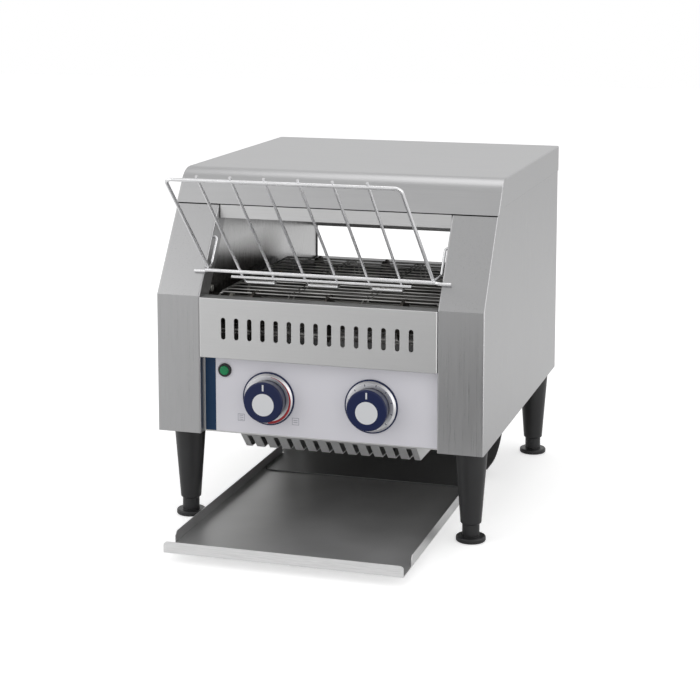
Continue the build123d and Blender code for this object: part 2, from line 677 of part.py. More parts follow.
# Heat selector: moulded switch block with a row of tab terminals.
with BuildPart() as heat_switch:
    half = SWITCH_SIZE / 2
    block(
        (-KNOB_X - half, -KNOB_X + half),
        (PANEL_BACK, PANEL_BACK + SWITCH_DEPTH),
        (KNOB_Z - half, KNOB_Z + half),
    )
    chamfer(edges().filter_by(Axis.Y), length=KNOB_WALL)
    with Locations((-KNOB_X, PANEL_BACK + SWITCH_DEPTH + PANEL_FLANGE / 2, KNOB_Z)):
        with GridLocations(SWITCH_SIZE / 4, 0, 3, 1):
            Box(SHEET, PANEL_FLANGE, 2 * SPINDLE_RADIUS)
    depth = (PANEL_BACK - PAST, PANEL_BACK + SPINDLE_GRIP + APART)
    rod_y(SPINDLE_RADIUS + RUNNING, -KNOB_X, depth, KNOB_Z, Mode.SUBTRACT)
keep(heat_switch, "heat_switch")

# Speed control: a round potentiometer on its circuit board.
with BuildPart() as speed_control:
    rod_y(SPEED_RADIUS, KNOB_X, (PANEL_BACK, PANEL_BACK + SPEED_DEPTH), KNOB_Z)
    board_x, board_z = SPEED_BOARD
    block(
        (KNOB_X - board_x / 2, KNOB_X + board_x / 2),
        (PANEL_BACK + SPEED_DEPTH, PANEL_BACK + SPEED_DEPTH + BOARD_THICK),
        (KNOB_Z - board_z / 2, KNOB_Z + board_z / 2),
    )
    depth = (PANEL_BACK - PAST, PANEL_BACK + SPINDLE_GRIP + APART)
    rod_y(SPINDLE_RADIUS + RUNNING, KNOB_X, depth, KNOB_Z, Mode.SUBTRACT)
keep(speed_control, "speed_control")

# Indicator lamp: snap-in body with a round rim, and its lens.
with BuildPart() as indicator_body:
    rim_face = FILM_FACE - BEZEL_RIM - SHEET
    rod_y(LAMP_RIM, LAMP_X, (rim_face, FILM_FACE), LAMP_Z)
    fillet(edges().group_by(Axis.Y)[0], radius=SHEET)
    rod_y(LAMP_BARREL, LAMP_X, (FILM_FACE, FILM_FACE + LAMP_DEPTH), LAMP_Z)
    rod_y(LAMP_LENS + SEAT, LAMP_X, (rim_face - PAST, rim_face + BEZEL_RIM), LAMP_Z, Mode.SUBTRACT)
keep(indicator_body, "indicator_body")

with BuildPart() as indicator_lens:
    rod_y(LAMP_LENS, LAMP_X, (rim_face - BEZEL_RIM, rim_face + BEZEL_RIM), LAMP_Z)
    fillet(edges().group_by(Axis.Y)[0], radius=BEZEL_RIM)
keep(indicator_lens, "indicator_lens")

# ---------------------------------------------------------------- legs and feet


def leg(x, y):
    """Tapered moulded leg, bored above for its bolt and below for the foot's stud."""
    with BuildPart() as part:
        with BuildSketch(Plane.XY.offset(UNDERSIDE)):
            with Locations((x, y)):
                Circle(LEG_TOP_RADIUS)
        with BuildSketch(Plane.XY.offset(LEG_LOW)):
            with Locations((x, y)):
                Circle(LEG_LOW_RADIUS)
        loft()
        chamfer(edges().group_by(Axis.Z)[0], length=SHEET)
        rod_z(BOLT_RADIUS + SEAT, x, y, (UNDERSIDE - BOLT_DEPTH, UNDERSIDE + PAST), Mode.SUBTRACT)
        rod_z(FOOT_STUD + RUNNING, x, y, (LEG_LOW - PAST, FOOT_STUD_TOP + APART), Mode.SUBTRACT)
    return part


def levelling_foot(x, y):
    """Screw foot: round pad, neck to turn it by, and the stud in the leg."""
    with BuildPart() as foot:
        rod_z(FOOT_RADIUS, x, y, (0, FOOT_THICK))
        fillet(edges(), radius=BEND)
        rod_z(FOOT_NECK, x, y, (FOOT_THICK - PAST, LEG_LOW - APART))
        rod_z(FOOT_STUD, x, y, (LEG_LOW - APART, FOOT_STUD_TOP))
    return foot


for name, (leg_x, leg_y) in LEG_PLACES.items():
    keep(leg(leg_x, leg_y), f"{name}_leg")
    keep(levelling_foot(leg_x, leg_y), f"{name}_foot")

with BuildPart() as leg_bolts:
    for leg_x, leg_y in LEG_PLACES.values():
        rod_z(BOLT_RADIUS, leg_x, leg_y, (UNDERSIDE - BOLT_DEPTH + APART, FLOOR))
    with BuildSketch(Plane.XY.offset(FLOOR)):
        with Locations(*LEG_PLACES.values()):
            RegularPolygon(BOLT_RADIUS * 1.9, 6)
    extrude(amount=BOLT_RADIUS * 1.3)
keep(leg_bolts, "leg_bolts")


# ---------------------------------------------------------------- belt and drive
def toothed_wheel(radius, teeth, roller, tooth, thick, x, y, z, bore):
    """Wheel whose teeth rise between the rollers or wires that lie on its pitch circle."""
    step = 360 / teeth
    root = radius - roller - SEAT
    with BuildPart() as wheel:
        with BuildSketch(Plane.YZ.offset(x - thick / 2)):
            with Locations((y, z)):
                Circle(root)
                half_low = root * sin(radians(step / 2)) - roller - APART
                half_high = half_low / 2
                with PolarLocations(0, teeth, start_angle=90 + step / 2):
                    Polygon(
                        (root * cos(radians(step / 2)) - roller, -half_low),
                        (radius, -half_low),
                        (radius + tooth, -half_high),
                        (radius + tooth, half_high),
                        (radius, half_low),
                        (root * cos(radians(step / 2)) - roller, half_low),
                        align=None,
                    )
                Circle(bore, mode=Mode.SUBTRACT)
        extrude(amount=thick)
    return wheel.part


def belt_wheels(y):
    """Three belt wheels on one shaft, each with its hub."""
    places = [i * WHEEL_SPACING for i in (-1, 0, 1)]
    sizes = (BELT_WHEEL_RADIUS, BELT_TEETH, BELT_WIRE, WHEEL_TOOTH, WHEEL_THICK)
    wheels = [toothed_wheel(*sizes, x, y, SHAFT_Z, SHAFT_RADIUS) for x in places]
    with BuildPart() as group:
        for x, wheel in zip(places, wheels):
            add(wheel)
            hub = (x - WHEEL_HUB_LENGTH / 2, x + WHEEL_HUB_LENGTH / 2)
            rod_x(WHEEL_HUB_RADIUS, hub, y, SHAFT_Z)
            rod_x(SHAFT_RADIUS + RUNNING / 2, hub, y, SHAFT_Z, Mode.SUBTRACT)
    return group


keep(belt_wheels(FRONT_SHAFT_Y), "front_belt_wheels")
keep(belt_wheels(REAR_SHAFT_Y), "rear_belt_wheels")

shaft_end = WALL_OUT + SHAFT_OVERRUN
with BuildPart() as front_shaft:
    rod_x(SHAFT_RADIUS, (-shaft_end, shaft_end), FRONT_SHAFT_Y, SHAFT_Z)
    chamfer(edges(), length=SHAFT_RADIUS / 8)
keep(front_shaft, "front_shaft")

with BuildPart() as rear_shaft:
    rod_x(SHAFT_RADIUS, (-shaft_end, CHAIN_X + CHAIN_ROLLER_WIDTH), REAR_SHAFT_Y, SHAFT_Z)
    chamfer(edges(), length=SHAFT_RADIUS / 8)
keep(rear_shaft, "rear_shaft")

with BuildPart() as shaft_bushes:
    for side in (-1, 1):
        barrel = sorted((side * (WALL - SHEET), side * (WALL_OUT + BUSH_RADIUS)))
        collar = sorted((side * WALL_OUT, side * (WALL_OUT + 2 * SHEET)))
        for y in (FRONT_SHAFT_Y, REAR_SHAFT_Y):
            rod_x(BUSH_RADIUS, barrel, y, SHAFT_Z)
            rod_x(BUSH_FLANGE, collar, y, SHAFT_Z)
            rod_x(SHAFT_RADIUS + RUNNING, barrel, y, SHAFT_Z, Mode.SUBTRACT)
keep(shaft_bushes, "shaft_bushes")


def loop_points(y, z, radius, spans, pitch, teeth, upright):
    """Points one pitch apart round two equal wheels, in travel order, as (y, z) pairs.

    The first wheel's centre is at (y, z). The second lies spans pitches further along +Y,
    or along -Z where the loop is upright.
    """
    step = 360 / teeth
    flat = [(i * pitch, radius) for i in range(spans)]
    flat += [
        (spans * pitch + radius * sin(radians(i * step)), radius * cos(radians(i * step)))
        for i in range(teeth // 2)
    ]
    flat += [(spans * pitch - i * pitch, -radius) for i in range(spans)]
    turns = [radians(i * step) for i in range(teeth // 2)]
    flat += [(-radius * sin(turn), -radius * cos(turn)) for turn in turns]
    if upright:
        return [(y + b, z - a) for a, b in flat]
    return [(y + a, z + b) for a, b in flat]


def belt_wire():
    """One cross wire of the belt, lying along X, with hooks that reach the next wire."""
    reach = BELT_PITCH - 2 * BELT_WIRE - APART
    corners = [
        (-BELT_HALF + BELT_HOOK, reach, 0),
        (-BELT_HALF, reach, 0),
        (-BELT_HALF, 0, 0),
        (BELT_HALF, 0, 0),
        (BELT_HALF, reach, 0),
        (BELT_HALF - BELT_HOOK, reach, 0),
    ]
    with BuildPart() as wire:
        add(bent_wire(corners, BELT_WIRE, BELT_BEND))
        for x in BELT_JOINTS:
            for side in (-1, 1):
                rod_y(BELT_LINK, x + side * BELT_HOOK, (0, reach + BELT_WIRE), 0)
    return wire.part


cross_wire = belt_wire()
belt_points = loop_points(
    FRONT_SHAFT_Y, SHAFT_Z, BELT_WHEEL_RADIUS, BELT_SPANS, BELT_PITCH, BELT_TEETH, upright=False
)
with BuildPart() as conveyor_belt:
    for i, (y, z) in enumerate(belt_points):
        next_y, next_z = belt_points[(i + 1) % len(belt_points)]
        turn = degrees(atan2(next_z - z, next_y - y))
        with Locations(Location((0, y, z), (turn, 0, 0))):
            add(cross_wire)
keep(conveyor_belt, "conveyor_belt")

# Chain drive: one wheel on the rear shaft, one on the motor, and the chain round both.
with BuildPart() as shaft_sprocket:
    add(
        toothed_wheel(
            CHAIN_WHEEL_RADIUS, CHAIN_TEETH, CHAIN_ROLLER, CHAIN_ROLLER,
            CHAIN_ROLLER_WIDTH - 2 * APART, CHAIN_X, REAR_SHAFT_Y, SHAFT_Z, SHAFT_RADIUS + RUNNING / 2,
        )
    )
    hub = (CHAIN_X - WHEEL_HUB_LENGTH, CHAIN_X - CHAIN_ROLLER_WIDTH / 2 + APART)
    rod_x(WHEEL_HUB_RADIUS, hub, REAR_SHAFT_Y, SHAFT_Z)
    rod_x(SHAFT_RADIUS + RUNNING / 2, hub, REAR_SHAFT_Y, SHAFT_Z, Mode.SUBTRACT)
keep(shaft_sprocket, "shaft_sprocket")

with BuildPart() as motor_sprocket:
    add(
        toothed_wheel(
            CHAIN_WHEEL_RADIUS, CHAIN_TEETH, CHAIN_ROLLER, CHAIN_ROLLER,
            CHAIN_ROLLER_WIDTH - 2 * APART, CHAIN_X, REAR_SHAFT_Y, MOTOR_Z, MOTOR_SHAFT / 2,
        )
    )
    motor_face = WALL_OUT + MOTOR_LENGTH
    rod_x(MOTOR_SHAFT, (motor_face - MOTOR_BOSS, CHAIN_X + CHAIN_ROLLER_WIDTH), REAR_SHAFT_Y, MOTOR_Z)
keep(motor_sprocket, "motor_sprocket")

with BuildPart() as gear_motor:
    rod_x(MOTOR_RADIUS, (WALL_OUT, motor_face), REAR_SHAFT_Y, MOTOR_Z)
    fillet(edges().group_by(Axis.X)[-1], radius=2 * BEND)
    ear = MOTOR_RADIUS + MOTOR_BOSS
    ear_y = (REAR_SHAFT_Y - ear, REAR_SHAFT_Y + ear)
    block((WALL_OUT, WALL_OUT + 2 * SHEET), ear_y, (MOTOR_Z - MOTOR_BOSS, MOTOR_Z + MOTOR_BOSS))
    rod_x(MOTOR_BOSS, (motor_face - SHEET, motor_face + 2 * SHEET), REAR_SHAFT_Y, MOTOR_Z)
    bore_start = motor_face - MOTOR_BOSS - APART
    rod_x(MOTOR_SHAFT + RUNNING, (bore_start, motor_face + 3 * SHEET), REAR_SHAFT_Y, MOTOR_Z, Mode.SUBTRACT)
keep(gear_motor, "gear_motor")

chain_points = loop_points(
    REAR_SHAFT_Y, SHAFT_Z, CHAIN_WHEEL_RADIUS, CHAIN_SPANS, CHAIN_PITCH, CHAIN_TEETH, upright=True
)
with BuildPart() as drive_chain:
    for i, (y, z) in enumerate(chain_points):
        next_y, next_z = chain_points[(i + 1) % len(chain_points)]
        turn = degrees(atan2(next_z - z, next_y - y))
        rod_x(CHAIN_ROLLER, (CHAIN_X - CHAIN_ROLLER_WIDTH / 2, CHAIN_X + CHAIN_ROLLER_WIDTH / 2), y, z)
        layer = CHAIN_ROLLER_WIDTH / 2 + (i % 2) * (CHAIN_PLATE + SEAT)
        for side in (-1, 1):
            start = CHAIN_X + (layer if side > 0 else -layer - CHAIN_PLATE)
            with BuildSketch(Plane.YZ.offset(start)):
                with Locations(((y + next_y) / 2, (z + next_z) / 2)):
                    SlotOverall(CHAIN_PITCH + CHAIN_PLATE_HEIGHT, CHAIN_PLATE_HEIGHT, rotation=turn)
            extrude(amount=CHAIN_PLATE)
keep(drive_chain, "drive_chain")

# ---------------------------------------------------------------- heaters
with BuildPart() as upper_heater_tubes:
    for y in HEATER_ROWS:
        rod_x(HEATER_RADIUS, (-HEATER_HALF, HEATER_HALF), y, UPPER_HEATER_Z)
keep(upper_heater_tubes, "upper_heater_tubes")

with BuildPart() as lower_heater_tubes:
    for y in HEATER_ROWS:
        rod_x(HEATER_RADIUS, (-HEATER_HALF, HEATER_HALF), y, LOWER_HEATER_Z)
keep(lower_heater_tubes, "lower_heater_tubes")

with BuildPart() as heater_end_caps:
    for side in (-1, 1):
        cap = sorted((side * (WALL - CAP_INSIDE), side * (WALL - CAP_INSIDE + CAP_LENGTH)))
        socket = sorted((side * (WALL - CAP_INSIDE - PAST), side * (HEATER_HALF + APART)))
        for y, z in HEATER_PLACES:
            rod_x(CAP_RADIUS, cap, y, z)
            rod_x(HEATER_RADIUS + SEAT, socket, y, z, Mode.SUBTRACT)
keep(heater_end_caps, "heater_end_caps")

# Reflector tray under the lower heaters, inside the loop of the belt.
with BuildPart() as lower_reflector:
    reach = BELT_WHEEL_RADIUS + 2 * WHEEL_TOOTH + APART
    span = (FRONT_SHAFT_Y + reach, REAR_SHAFT_Y - reach)
    block((-WALL, WALL), span, (REFLECTOR_Z, REFLECTOR_Z + SHEET))
    for low in (span[0], span[1] - SHEET):
        block((-WALL, WALL), (low, low + SHEET), (REFLECTOR_Z + SHEET, REFLECTOR_Z + REFLECTOR_EDGE))
keep(lower_reflector, "lower_reflector")

# ---------------------------------------------------------------- chute and tray
# Chute: drops behind the belt, turns forward and ends in a tongue inside the tray.
with BuildPart() as return_chute:
    with BuildSketch(Plane.YZ.offset(-CHUTE_HALF)):
        with BuildLine():
            under = Line((CHUTE_KNEE - TONGUE_LENGTH, CHUTE_LOW), (CHUTE_KNEE, CHUTE_LOW))
            turn_centre = (CHUTE_KNEE, CHUTE_LOW + CHUTE_RADIUS)
            outer = CenterArc(turn_centre, CHUTE_RADIUS, -90, 90)
            Polyline(
                outer @ 1,
                (CHUTE_BACK, WINDOW_LOW - SHEET),
                (BACK - SHEET, WINDOW_LOW - SHEET),
                (BACK - SHEET, WINDOW_LOW),
                (CHUTE_BACK - SHEET, WINDOW_LOW),
                (CHUTE_BACK - SHEET, CHUTE_LOW + CHUTE_RADIUS),
            )
            inner = CenterArc(turn_centre, CHUTE_RADIUS - SHEET, 0, -90)
            Polyline(inner @ 1, (CHUTE_KNEE - TONGUE_LENGTH, CHUTE_LOW + SHEET), under @ 0)
        make_face()
    extrude(amount=2 * CHUTE_HALF)
    for side in (-1, 1):
        strip = sorted((side * TONGUE_HALF, side * (CHUTE_HALF + PAST)))
        beside_tray = (CHUTE_KNEE - TONGUE_LENGTH - PAST, TRAY_BACK + APART)
        block(strip, beside_tray, (0, CHUTE_RADIUS / 2), Mode.SUBTRACT)
    fillet(edges().filter_by(Axis.Z).group_by(Axis.Y)[0], radius=2 * TRAY_CORNER)
keep(return_chute, "return_chute")

# Tray: flat sheet with side walls and an upturned lip at the front.
with BuildPart() as toast_tray:
    top = TRAY_LOW + TRAY_WALL
    block((-TRAY_HALF, TRAY_HALF), (TRAY_FRONT, TRAY_BACK), (TRAY_LOW, TRAY_LOW + SHEET))
    block((-TRAY_HALF, TRAY_HALF), (TRAY_FRONT, TRAY_FRONT + SHEET), (TRAY_LOW, top))
    fillet(edges().filter_by(Axis.Y).group_by(Axis.Z)[-1], radius=TRAY_CORNER)
    for side in (-1, 1):
        wall = sorted((side * TRAY_HALF, side * (TRAY_HALF - SHEET)))
        with BuildSketch(Plane.YZ.offset(wall[0])):
            with BuildLine():
                Polyline(
                    (TRAY_FRONT + TRAY_FRONT_GAP, TRAY_LOW),
                    (TRAY_FRONT + TRAY_FRONT_GAP, top - TRAY_CORNER),
                    (TRAY_FRONT + TRAY_FRONT_GAP + TRAY_CORNER, top),
                    (TRAY_BACK, top),
                    (TRAY_BACK, TRAY_LOW),
                    close=True,
                )
            make_face()
        extrude(amount=SHEET)
keep(toast_tray, "toast_tray")

with BuildPart() as tray_glides:
    for x in (-(TRAY_HALF - GLIDE_INSET), TRAY_HALF - GLIDE_INSET):
        for y in (TRAY_FRONT + GLIDE_FRONT, TRAY_BACK - GLIDE_INSET):
            rod_z(GLIDE_RADIUS, x, y, (APART, TRAY_LOW))
    fillet(edges().group_by(Axis.Z)[0], radius=BEND)
keep(tray_glides, "tray_glides")

# ---------------------------------------------------------------- loading rack
# Places on the rack are (x, along, lift): along runs up the rack from its lower bar, and
# lift stands off it on the side that the bread slides on.
UP_Y = -cos(radians(RACK_LEAN))
UP_Z = sin(radians(RACK_LEAN))


def on_rack(x, along, lift=0.0):
    """A point of the rack in the frame of the whole toaster."""
    y = FRONT + RACK_INSET + along * UP_Y + lift * UP_Z
    z = RACK_Z + along * UP_Z - lift * UP_Y
    return (x, y, z)


# The side wires lie on the lower bar. The ears end clear of the leaning faces by APART,
# which sets how far below that bar they sit.
SIDE_LIFT = 2 * RACK_WIRE - WELD
ear_gap = (slant_y(RACK_Z) - FRONT - RACK_INSET) - (RACK_WIRE + APART) * LEAN
ear_gap -= SIDE_LIFT * (UP_Z + UP_Y * SLOPE)
EAR_ALONG = -ear_gap / (SLOPE * UP_Z - UP_Y)
WIRE_LIFT = RACK_WIRE + RACK_THIN - WELD
SECOND_LIFT = WIRE_LIFT - 2 * RACK_THIN + WELD

# One thick wire makes both ears, both sides and the top.
frame_points = []
for side, order in ((-1, 1), (1, -1)):
    arm = [
        on_rack(side * (RACK_HALF_LOW + RACK_EAR), EAR_ALONG, SIDE_LIFT),
        on_rack(side * RACK_HALF_LOW, EAR_ALONG, SIDE_LIFT),
        on_rack(side * RACK_HALF_TOP, RACK_LENGTH),
    ]
    frame_points += arm[::order]
with BuildPart() as rack_frame:
    add(bent_wire(frame_points, RACK_WIRE, RACK_CORNER))
keep(rack_frame, "rack_frame")

with BuildPart() as rack_cross_bars:
    bar_half = RACK_HALF_LOW + RACK_NUB
    add(bent_wire([on_rack(-bar_half, 0), on_rack(bar_half, 0)], RACK_WIRE, 0))
    second = [on_rack(side * RACK_SECOND_HALF, -RACK_SECOND, SECOND_LIFT) for side in (-1, 1)]
    add(bent_wire(second, RACK_THIN, 0))
keep(rack_cross_bars, "rack_cross_bars")

# The sloping wires, two and two joined by a turn at the bottom.
with BuildPart() as rack_hairpins:
    for pair in range(RACK_WIRES // 2):
        left_x = (2 * pair - (RACK_WIRES - 1) / 2) * RACK_PITCH
        right_x = left_x + RACK_PITCH
        hairpin = [
            on_rack(left_x, RACK_LENGTH + RACK_TOP_PROUD, WIRE_LIFT),
            on_rack(left_x, -RACK_HAIRPIN, WIRE_LIFT),
            on_rack(right_x, -RACK_HAIRPIN, WIRE_LIFT),
            on_rack(right_x, RACK_LENGTH + RACK_TOP_PROUD, WIRE_LIFT),
        ]
        add(bent_wire(hairpin, RACK_THIN, HOOK_BEND))
keep(rack_hairpins, "rack_hairpins")

# The hooks run up behind the leaning faces and turn out into the flanges' holes.
with BuildPart() as rack_hooks:
    for side in (-1, 1):
        hook_low = RACK_Z + 2 * RACK_WIRE
        hook = [
            on_rack(side * RACK_HALF_LOW, EAR_ALONG / 4, SIDE_LIFT),
            (side * HOOK_X, slant_y(hook_low, HOOK_INSET), hook_low),
            (side * HOOK_X, HOOK_Y, HOOK_Z),
            (side * (OPENING - RACK_THIN + HOOK_LENGTH), HOOK_Y, HOOK_Z),
        ]
        add(bent_wire(hook, RACK_THIN, HOOK_BEND))
keep(rack_hooks, "rack_hooks")

# ---------------------------------------------------------------- electrical pieces and screws
with BuildPart() as terminal_block:
    size_x, size_y, size_z = TERMINAL_SIZE
    terminal_x = -(WALL_OUT + WALL_FLANGE + PAST + size_x / 2)
    terminal_y = BACK - LEG_INSET_BACK - size_y - PANEL_FLANGE
    block(
        (terminal_x - size_x / 2, terminal_x + size_x / 2),
        (terminal_y - size_y / 2, terminal_y + size_y / 2),
        (FLOOR, FLOOR + size_z),
    )
    with Locations((terminal_x, terminal_y, FLOOR + size_z)):
        with GridLocations(size_x / 2, size_y / 4, 2, 3):
            Hole(SCREW_RADIUS, depth=size_z / 2)
keep(terminal_block, "terminal_block")

with BuildPart() as cord_gland:
    rod_y(GLAND_RADIUS, GLAND_X, (BACK - SHEET - PANEL_FLANGE, BACK), GLAND_Z)
    for start, length in ((BACK, GLAND_REACH / 2), (BACK - SHEET - GLAND_REACH / 2, GLAND_REACH / 2)):
        with BuildSketch(Plane.XZ.offset(-start - length)):
            with Locations((GLAND_X, GLAND_Z)):
                RegularPolygon(GLAND_NUT, 6)
        extrude(amount=length)
    rod_y(GLAND_RADIUS, GLAND_X, (BACK + GLAND_REACH / 2, BACK + GLAND_REACH), GLAND_Z)
    fillet(edges().group_by(Axis.Y)[-1], radius=BEND)
    rod_y(GLAND_BORE, GLAND_X, (BACK - 2 * GLAND_REACH, BACK + GLAND_REACH + PAST), GLAND_Z, Mode.SUBTRACT)
keep(cord_gland, "cord_gland")


def pan_screws(places, face):
    """Pan-head screws that point forward, their heads on a face at the back."""
    with BuildPart() as screws:
        for x, z in places:
            rod_y(SCREW_HEAD, x, (face, face + SCREW_HEAD_HEIGHT), z)
        fillet(edges().group_by(Axis.Y)[-1], radius=SHEET)
        for x, z in places:
            rod_y(SCREW_RADIUS, x, (face - SCREW_LENGTH, face), z)
            recess = (face + SCREW_HEAD_HEIGHT / 2, face + SCREW_HEAD_HEIGHT + PAST)
            block((x - SCREW_RADIUS, x + SCREW_RADIUS), recess, (z - FILM, z + FILM), Mode.SUBTRACT)
            block((x - FILM, x + FILM), recess, (z - SCREW_RADIUS, z + SCREW_RADIUS), Mode.SUBTRACT)
    return screws


cover_places = [(side * (WALL_OUT + WALL_FLANGE / 2), z) for side in (-1, 1) for z in COVER_SCREW_ROWS]
keep(pan_screws(cover_places, BACK), "rear_cover_screws")
lid_places = [(x, LID_SCREW_Z) for x in LID_SCREW_X]
keep(pan_screws(lid_places, BACK + SHEET), "lid_screws")

# One screw near the front of each inner wall, its head in the chamber.
with BuildPart() as wall_screws:
    for side in (-1, 1):
        head = sorted((side * (WALL - SCREW_HEAD_HEIGHT), side * WALL))
        shank = sorted((side * WALL, side * (WALL_OUT + 2 * SHEET)))
        rod_x(SCREW_HEAD, head, FRONT + WALL_SCREW_INSET, WALL_SCREW_Z)
        rod_x(SCREW_RADIUS, shank, FRONT + WALL_SCREW_INSET, WALL_SCREW_Z)
keep(wall_screws, "wall_screws")
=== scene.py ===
# %% [markdown]
# # A countertop conveyor toaster
# The solids of the toaster come from its CAD part, already in place, in metres, with the
# front facing -Y and the right-hand side at +X. This lesson dresses them: each finish is a
# procedural material, built from noise and from where a point lies on the toaster, so no
# picture is needed.

import math

import bpy
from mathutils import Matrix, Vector


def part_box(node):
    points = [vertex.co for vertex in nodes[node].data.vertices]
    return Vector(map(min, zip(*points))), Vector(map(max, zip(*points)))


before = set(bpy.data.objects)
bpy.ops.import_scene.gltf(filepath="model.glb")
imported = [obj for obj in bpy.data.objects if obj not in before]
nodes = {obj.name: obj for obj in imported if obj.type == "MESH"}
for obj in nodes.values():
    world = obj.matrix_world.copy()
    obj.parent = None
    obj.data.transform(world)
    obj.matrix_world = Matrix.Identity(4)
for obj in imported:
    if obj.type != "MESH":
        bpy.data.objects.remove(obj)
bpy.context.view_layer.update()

# %% [markdown]
# ## Small helpers for node trees
# Every finish below is a tree of shader nodes. Such a tree could be drawn by hand in the
# shader editor; written out, it can be read, compared and changed. A few short helpers
# keep the recipes readable: one adds a node and fills its sockets by name, one joins two
# sockets, and the others wrap the Math, Mix and Map Range nodes that come up most.

# %% Add and join nodes
MM = 0.001


def add_node(tree, kind, label, **sockets):
    """Add a node and fill the sockets named (spaces written as underscores)."""
    made = tree.nodes.new(kind)
    made.label = label
    for key, value in sockets.items():
        made.inputs[key.replace("_", " ")].default_value = value
    return made


def join(tree, source, target):
    tree.links.new(source, target)


def combine(tree, operation, first, second, label):
    """A Math node: first and second are numbers or output sockets."""
    made = tree.nodes.new("ShaderNodeMath")
    made.operation = operation
    made.label = label
    for slot, value in zip(made.inputs, (first, second)):
        if isinstance(value, (int, float)):
            slot.default_value = value
        else:
            join(tree, value, slot)
    return made.outputs[0]


print("helpers ready: add_node, join, combine")

# %% [markdown]
# Two more helpers mix: one blends two colours by a factor, the other stretches a value
# from one range to another and holds it at both ends.

# %% Blend and stretch
MIX_FIRST, MIX_SECOND, MIX_RESULT = 6, 7, 2


def blend_colours(tree, factor, first, second, label):
    """Mix two colours; each is an RGB tuple or an output socket."""
    made = tree.nodes.new("ShaderNodeMix")
    made.data_type = "RGBA"
    made.label = label
    if isinstance(factor, float):
        made.inputs[0].default_value = factor
    else:
        join(tree, factor, made.inputs[0])
    for index, value in ((MIX_FIRST, first), (MIX_SECOND, second)):
        if isinstance(value, tuple):
            made.inputs[index].default_value = (*value, 1.0)
        else:
            join(tree, value, made.inputs[index])
    return made.outputs[MIX_RESULT]


def span(tree, value, low, high, out_low, out_high, label):
    """Map Range, held at both ends."""
    made = tree.nodes.new("ShaderNodeMapRange")
    made.label = label
    join(tree, value, made.inputs["Value"])
    made.inputs["From Min"].default_value = low
    made.inputs["From Max"].default_value = high
    made.inputs["To Min"].default_value = out_low
    made.inputs["To Max"].default_value = out_high
    return made.outputs["Result"]


def scaled(colour, factor):
    """A colour made darker or lighter, never above white."""
    return tuple(min(1.0, channel * factor) for channel in colour)


print("helpers ready: blend_colours, span, scaled")

# %% [markdown]
# The last helpers deal with places. Printed marks and the painted shade are masks: values
# that are 1 where the mark is and 0 elsewhere, worked out from where the surface point lies.
# The Object output of Texture Coordinate gives that place in the piece's own frame, so a
# mark stays on its piece when the piece moves.

# %% Places and masks
def place_of(tree):
    """Where the surface point is on the toaster: X, Y and Z in metres, and the vector."""
    where = add_node(tree, "ShaderNodeTexCoord", "place on the toaster")
    parts = add_node(tree, "ShaderNodeSeparateXYZ", "X Y Z")
    join(tree, where.outputs["Object"], parts.inputs[0])
    return parts.outputs["X"], parts.outputs["Y"], parts.outputs["Z"], where.outputs["Object"]


def within(tree, value, low, high, label):
    """1 where the value lies between two limits, 0 elsewhere."""
    above = combine(tree, "GREATER_THAN", value, low, label)
    below = combine(tree, "LESS_THAN", value, high, label)
    return combine(tree, "MULTIPLY", above, below, label)


def distance_from(tree, value, centre, label):
    """How far a coordinate is from a centre, on either side."""
    difference = combine(tree, "SUBTRACT", value, centre, label)
    return combine(tree, "ABSOLUTE", difference, 0.0, label)


def product(tree, label, first, *others):
    """Multiply values together: for masks, 1 only where all of them are."""
    for other in others:
        first = combine(tree, "MULTIPLY", first, other, label)
    return first


print("helpers ready: place_of, within, distance_from, product")

# %% [markdown]
# ## The grain of brushed sheet
# Brushed sheet shows thousands of hair-thin scratches in one direction, and over them a
# slow cloudiness where the abrasive belt pressed harder. Scratches could be modelled or
# painted; noise makes them for any size of sheet. One noise is stretched very long
# along the grain, one is left round and large. The group puts out a line value, a cloud
# value and a height for a bump, and each metal mixes them its own way.

# %% Brushed grain group
NOISE_LOW, NOISE_HIGH = 0.3, 0.7


def new_group(name, inputs, outputs):
    group = bpy.data.node_groups.new(name, "ShaderNodeTree")
    for title, kind, value in inputs:
        made = group.interface.new_socket(name=title, in_out="INPUT", socket_type=kind)
        made.default_value = value
    for title in outputs:
        group.interface.new_socket(name=title, in_out="OUTPUT", socket_type="NodeSocketFloat")
    return group, group.nodes.new("NodeGroupInput"), group.nodes.new("NodeGroupOutput")


def even_out(group, noise, target):
    """Noise seldom leaves its middle: stretch that middle over 0 to 1."""
    stretched = span(group, noise.outputs["Fac"], NOISE_LOW, NOISE_HIGH, 0.0, 1.0, "even out")
    join(group, stretched, target)


def make_brushing():
    group, given, result = new_group(
        "brushed grain",
        [
            ("Place", "NodeSocketVector", (0.0, 0.0, 0.0)),
            ("Grain scale", "NodeSocketVector", (40.0, 2500.0, 2500.0)),
            ("Cloud scale", "NodeSocketFloat", 9.0),
        ],
        ["Lines", "Cloud", "Height"],
    )
    stretched = group.nodes.new("ShaderNodeVectorMath")
    stretched.operation = "MULTIPLY"
    join(group, given.outputs["Place"], stretched.inputs[0])
    join(group, given.outputs["Grain scale"], stretched.inputs[1])
    fine = add_node(
        group, "ShaderNodeTexNoise", "hair lines", Scale=1.0, Detail=3.0, Roughness=0.65
    )
    join(group, stretched.outputs[0], fine.inputs["Vector"])
    cloud = add_node(group, "ShaderNodeTexNoise", "cloudiness", Detail=3.0, Roughness=0.5)
    join(group, given.outputs["Place"], cloud.inputs["Vector"])
    join(group, given.outputs["Cloud scale"], cloud.inputs["Scale"])
    even_out(group, fine, result.inputs["Lines"])
    even_out(group, cloud, result.inputs["Cloud"])
    join(group, fine.outputs["Fac"], result.inputs["Height"])
    return group


brushing = make_brushing()
print("group:", brushing.name)

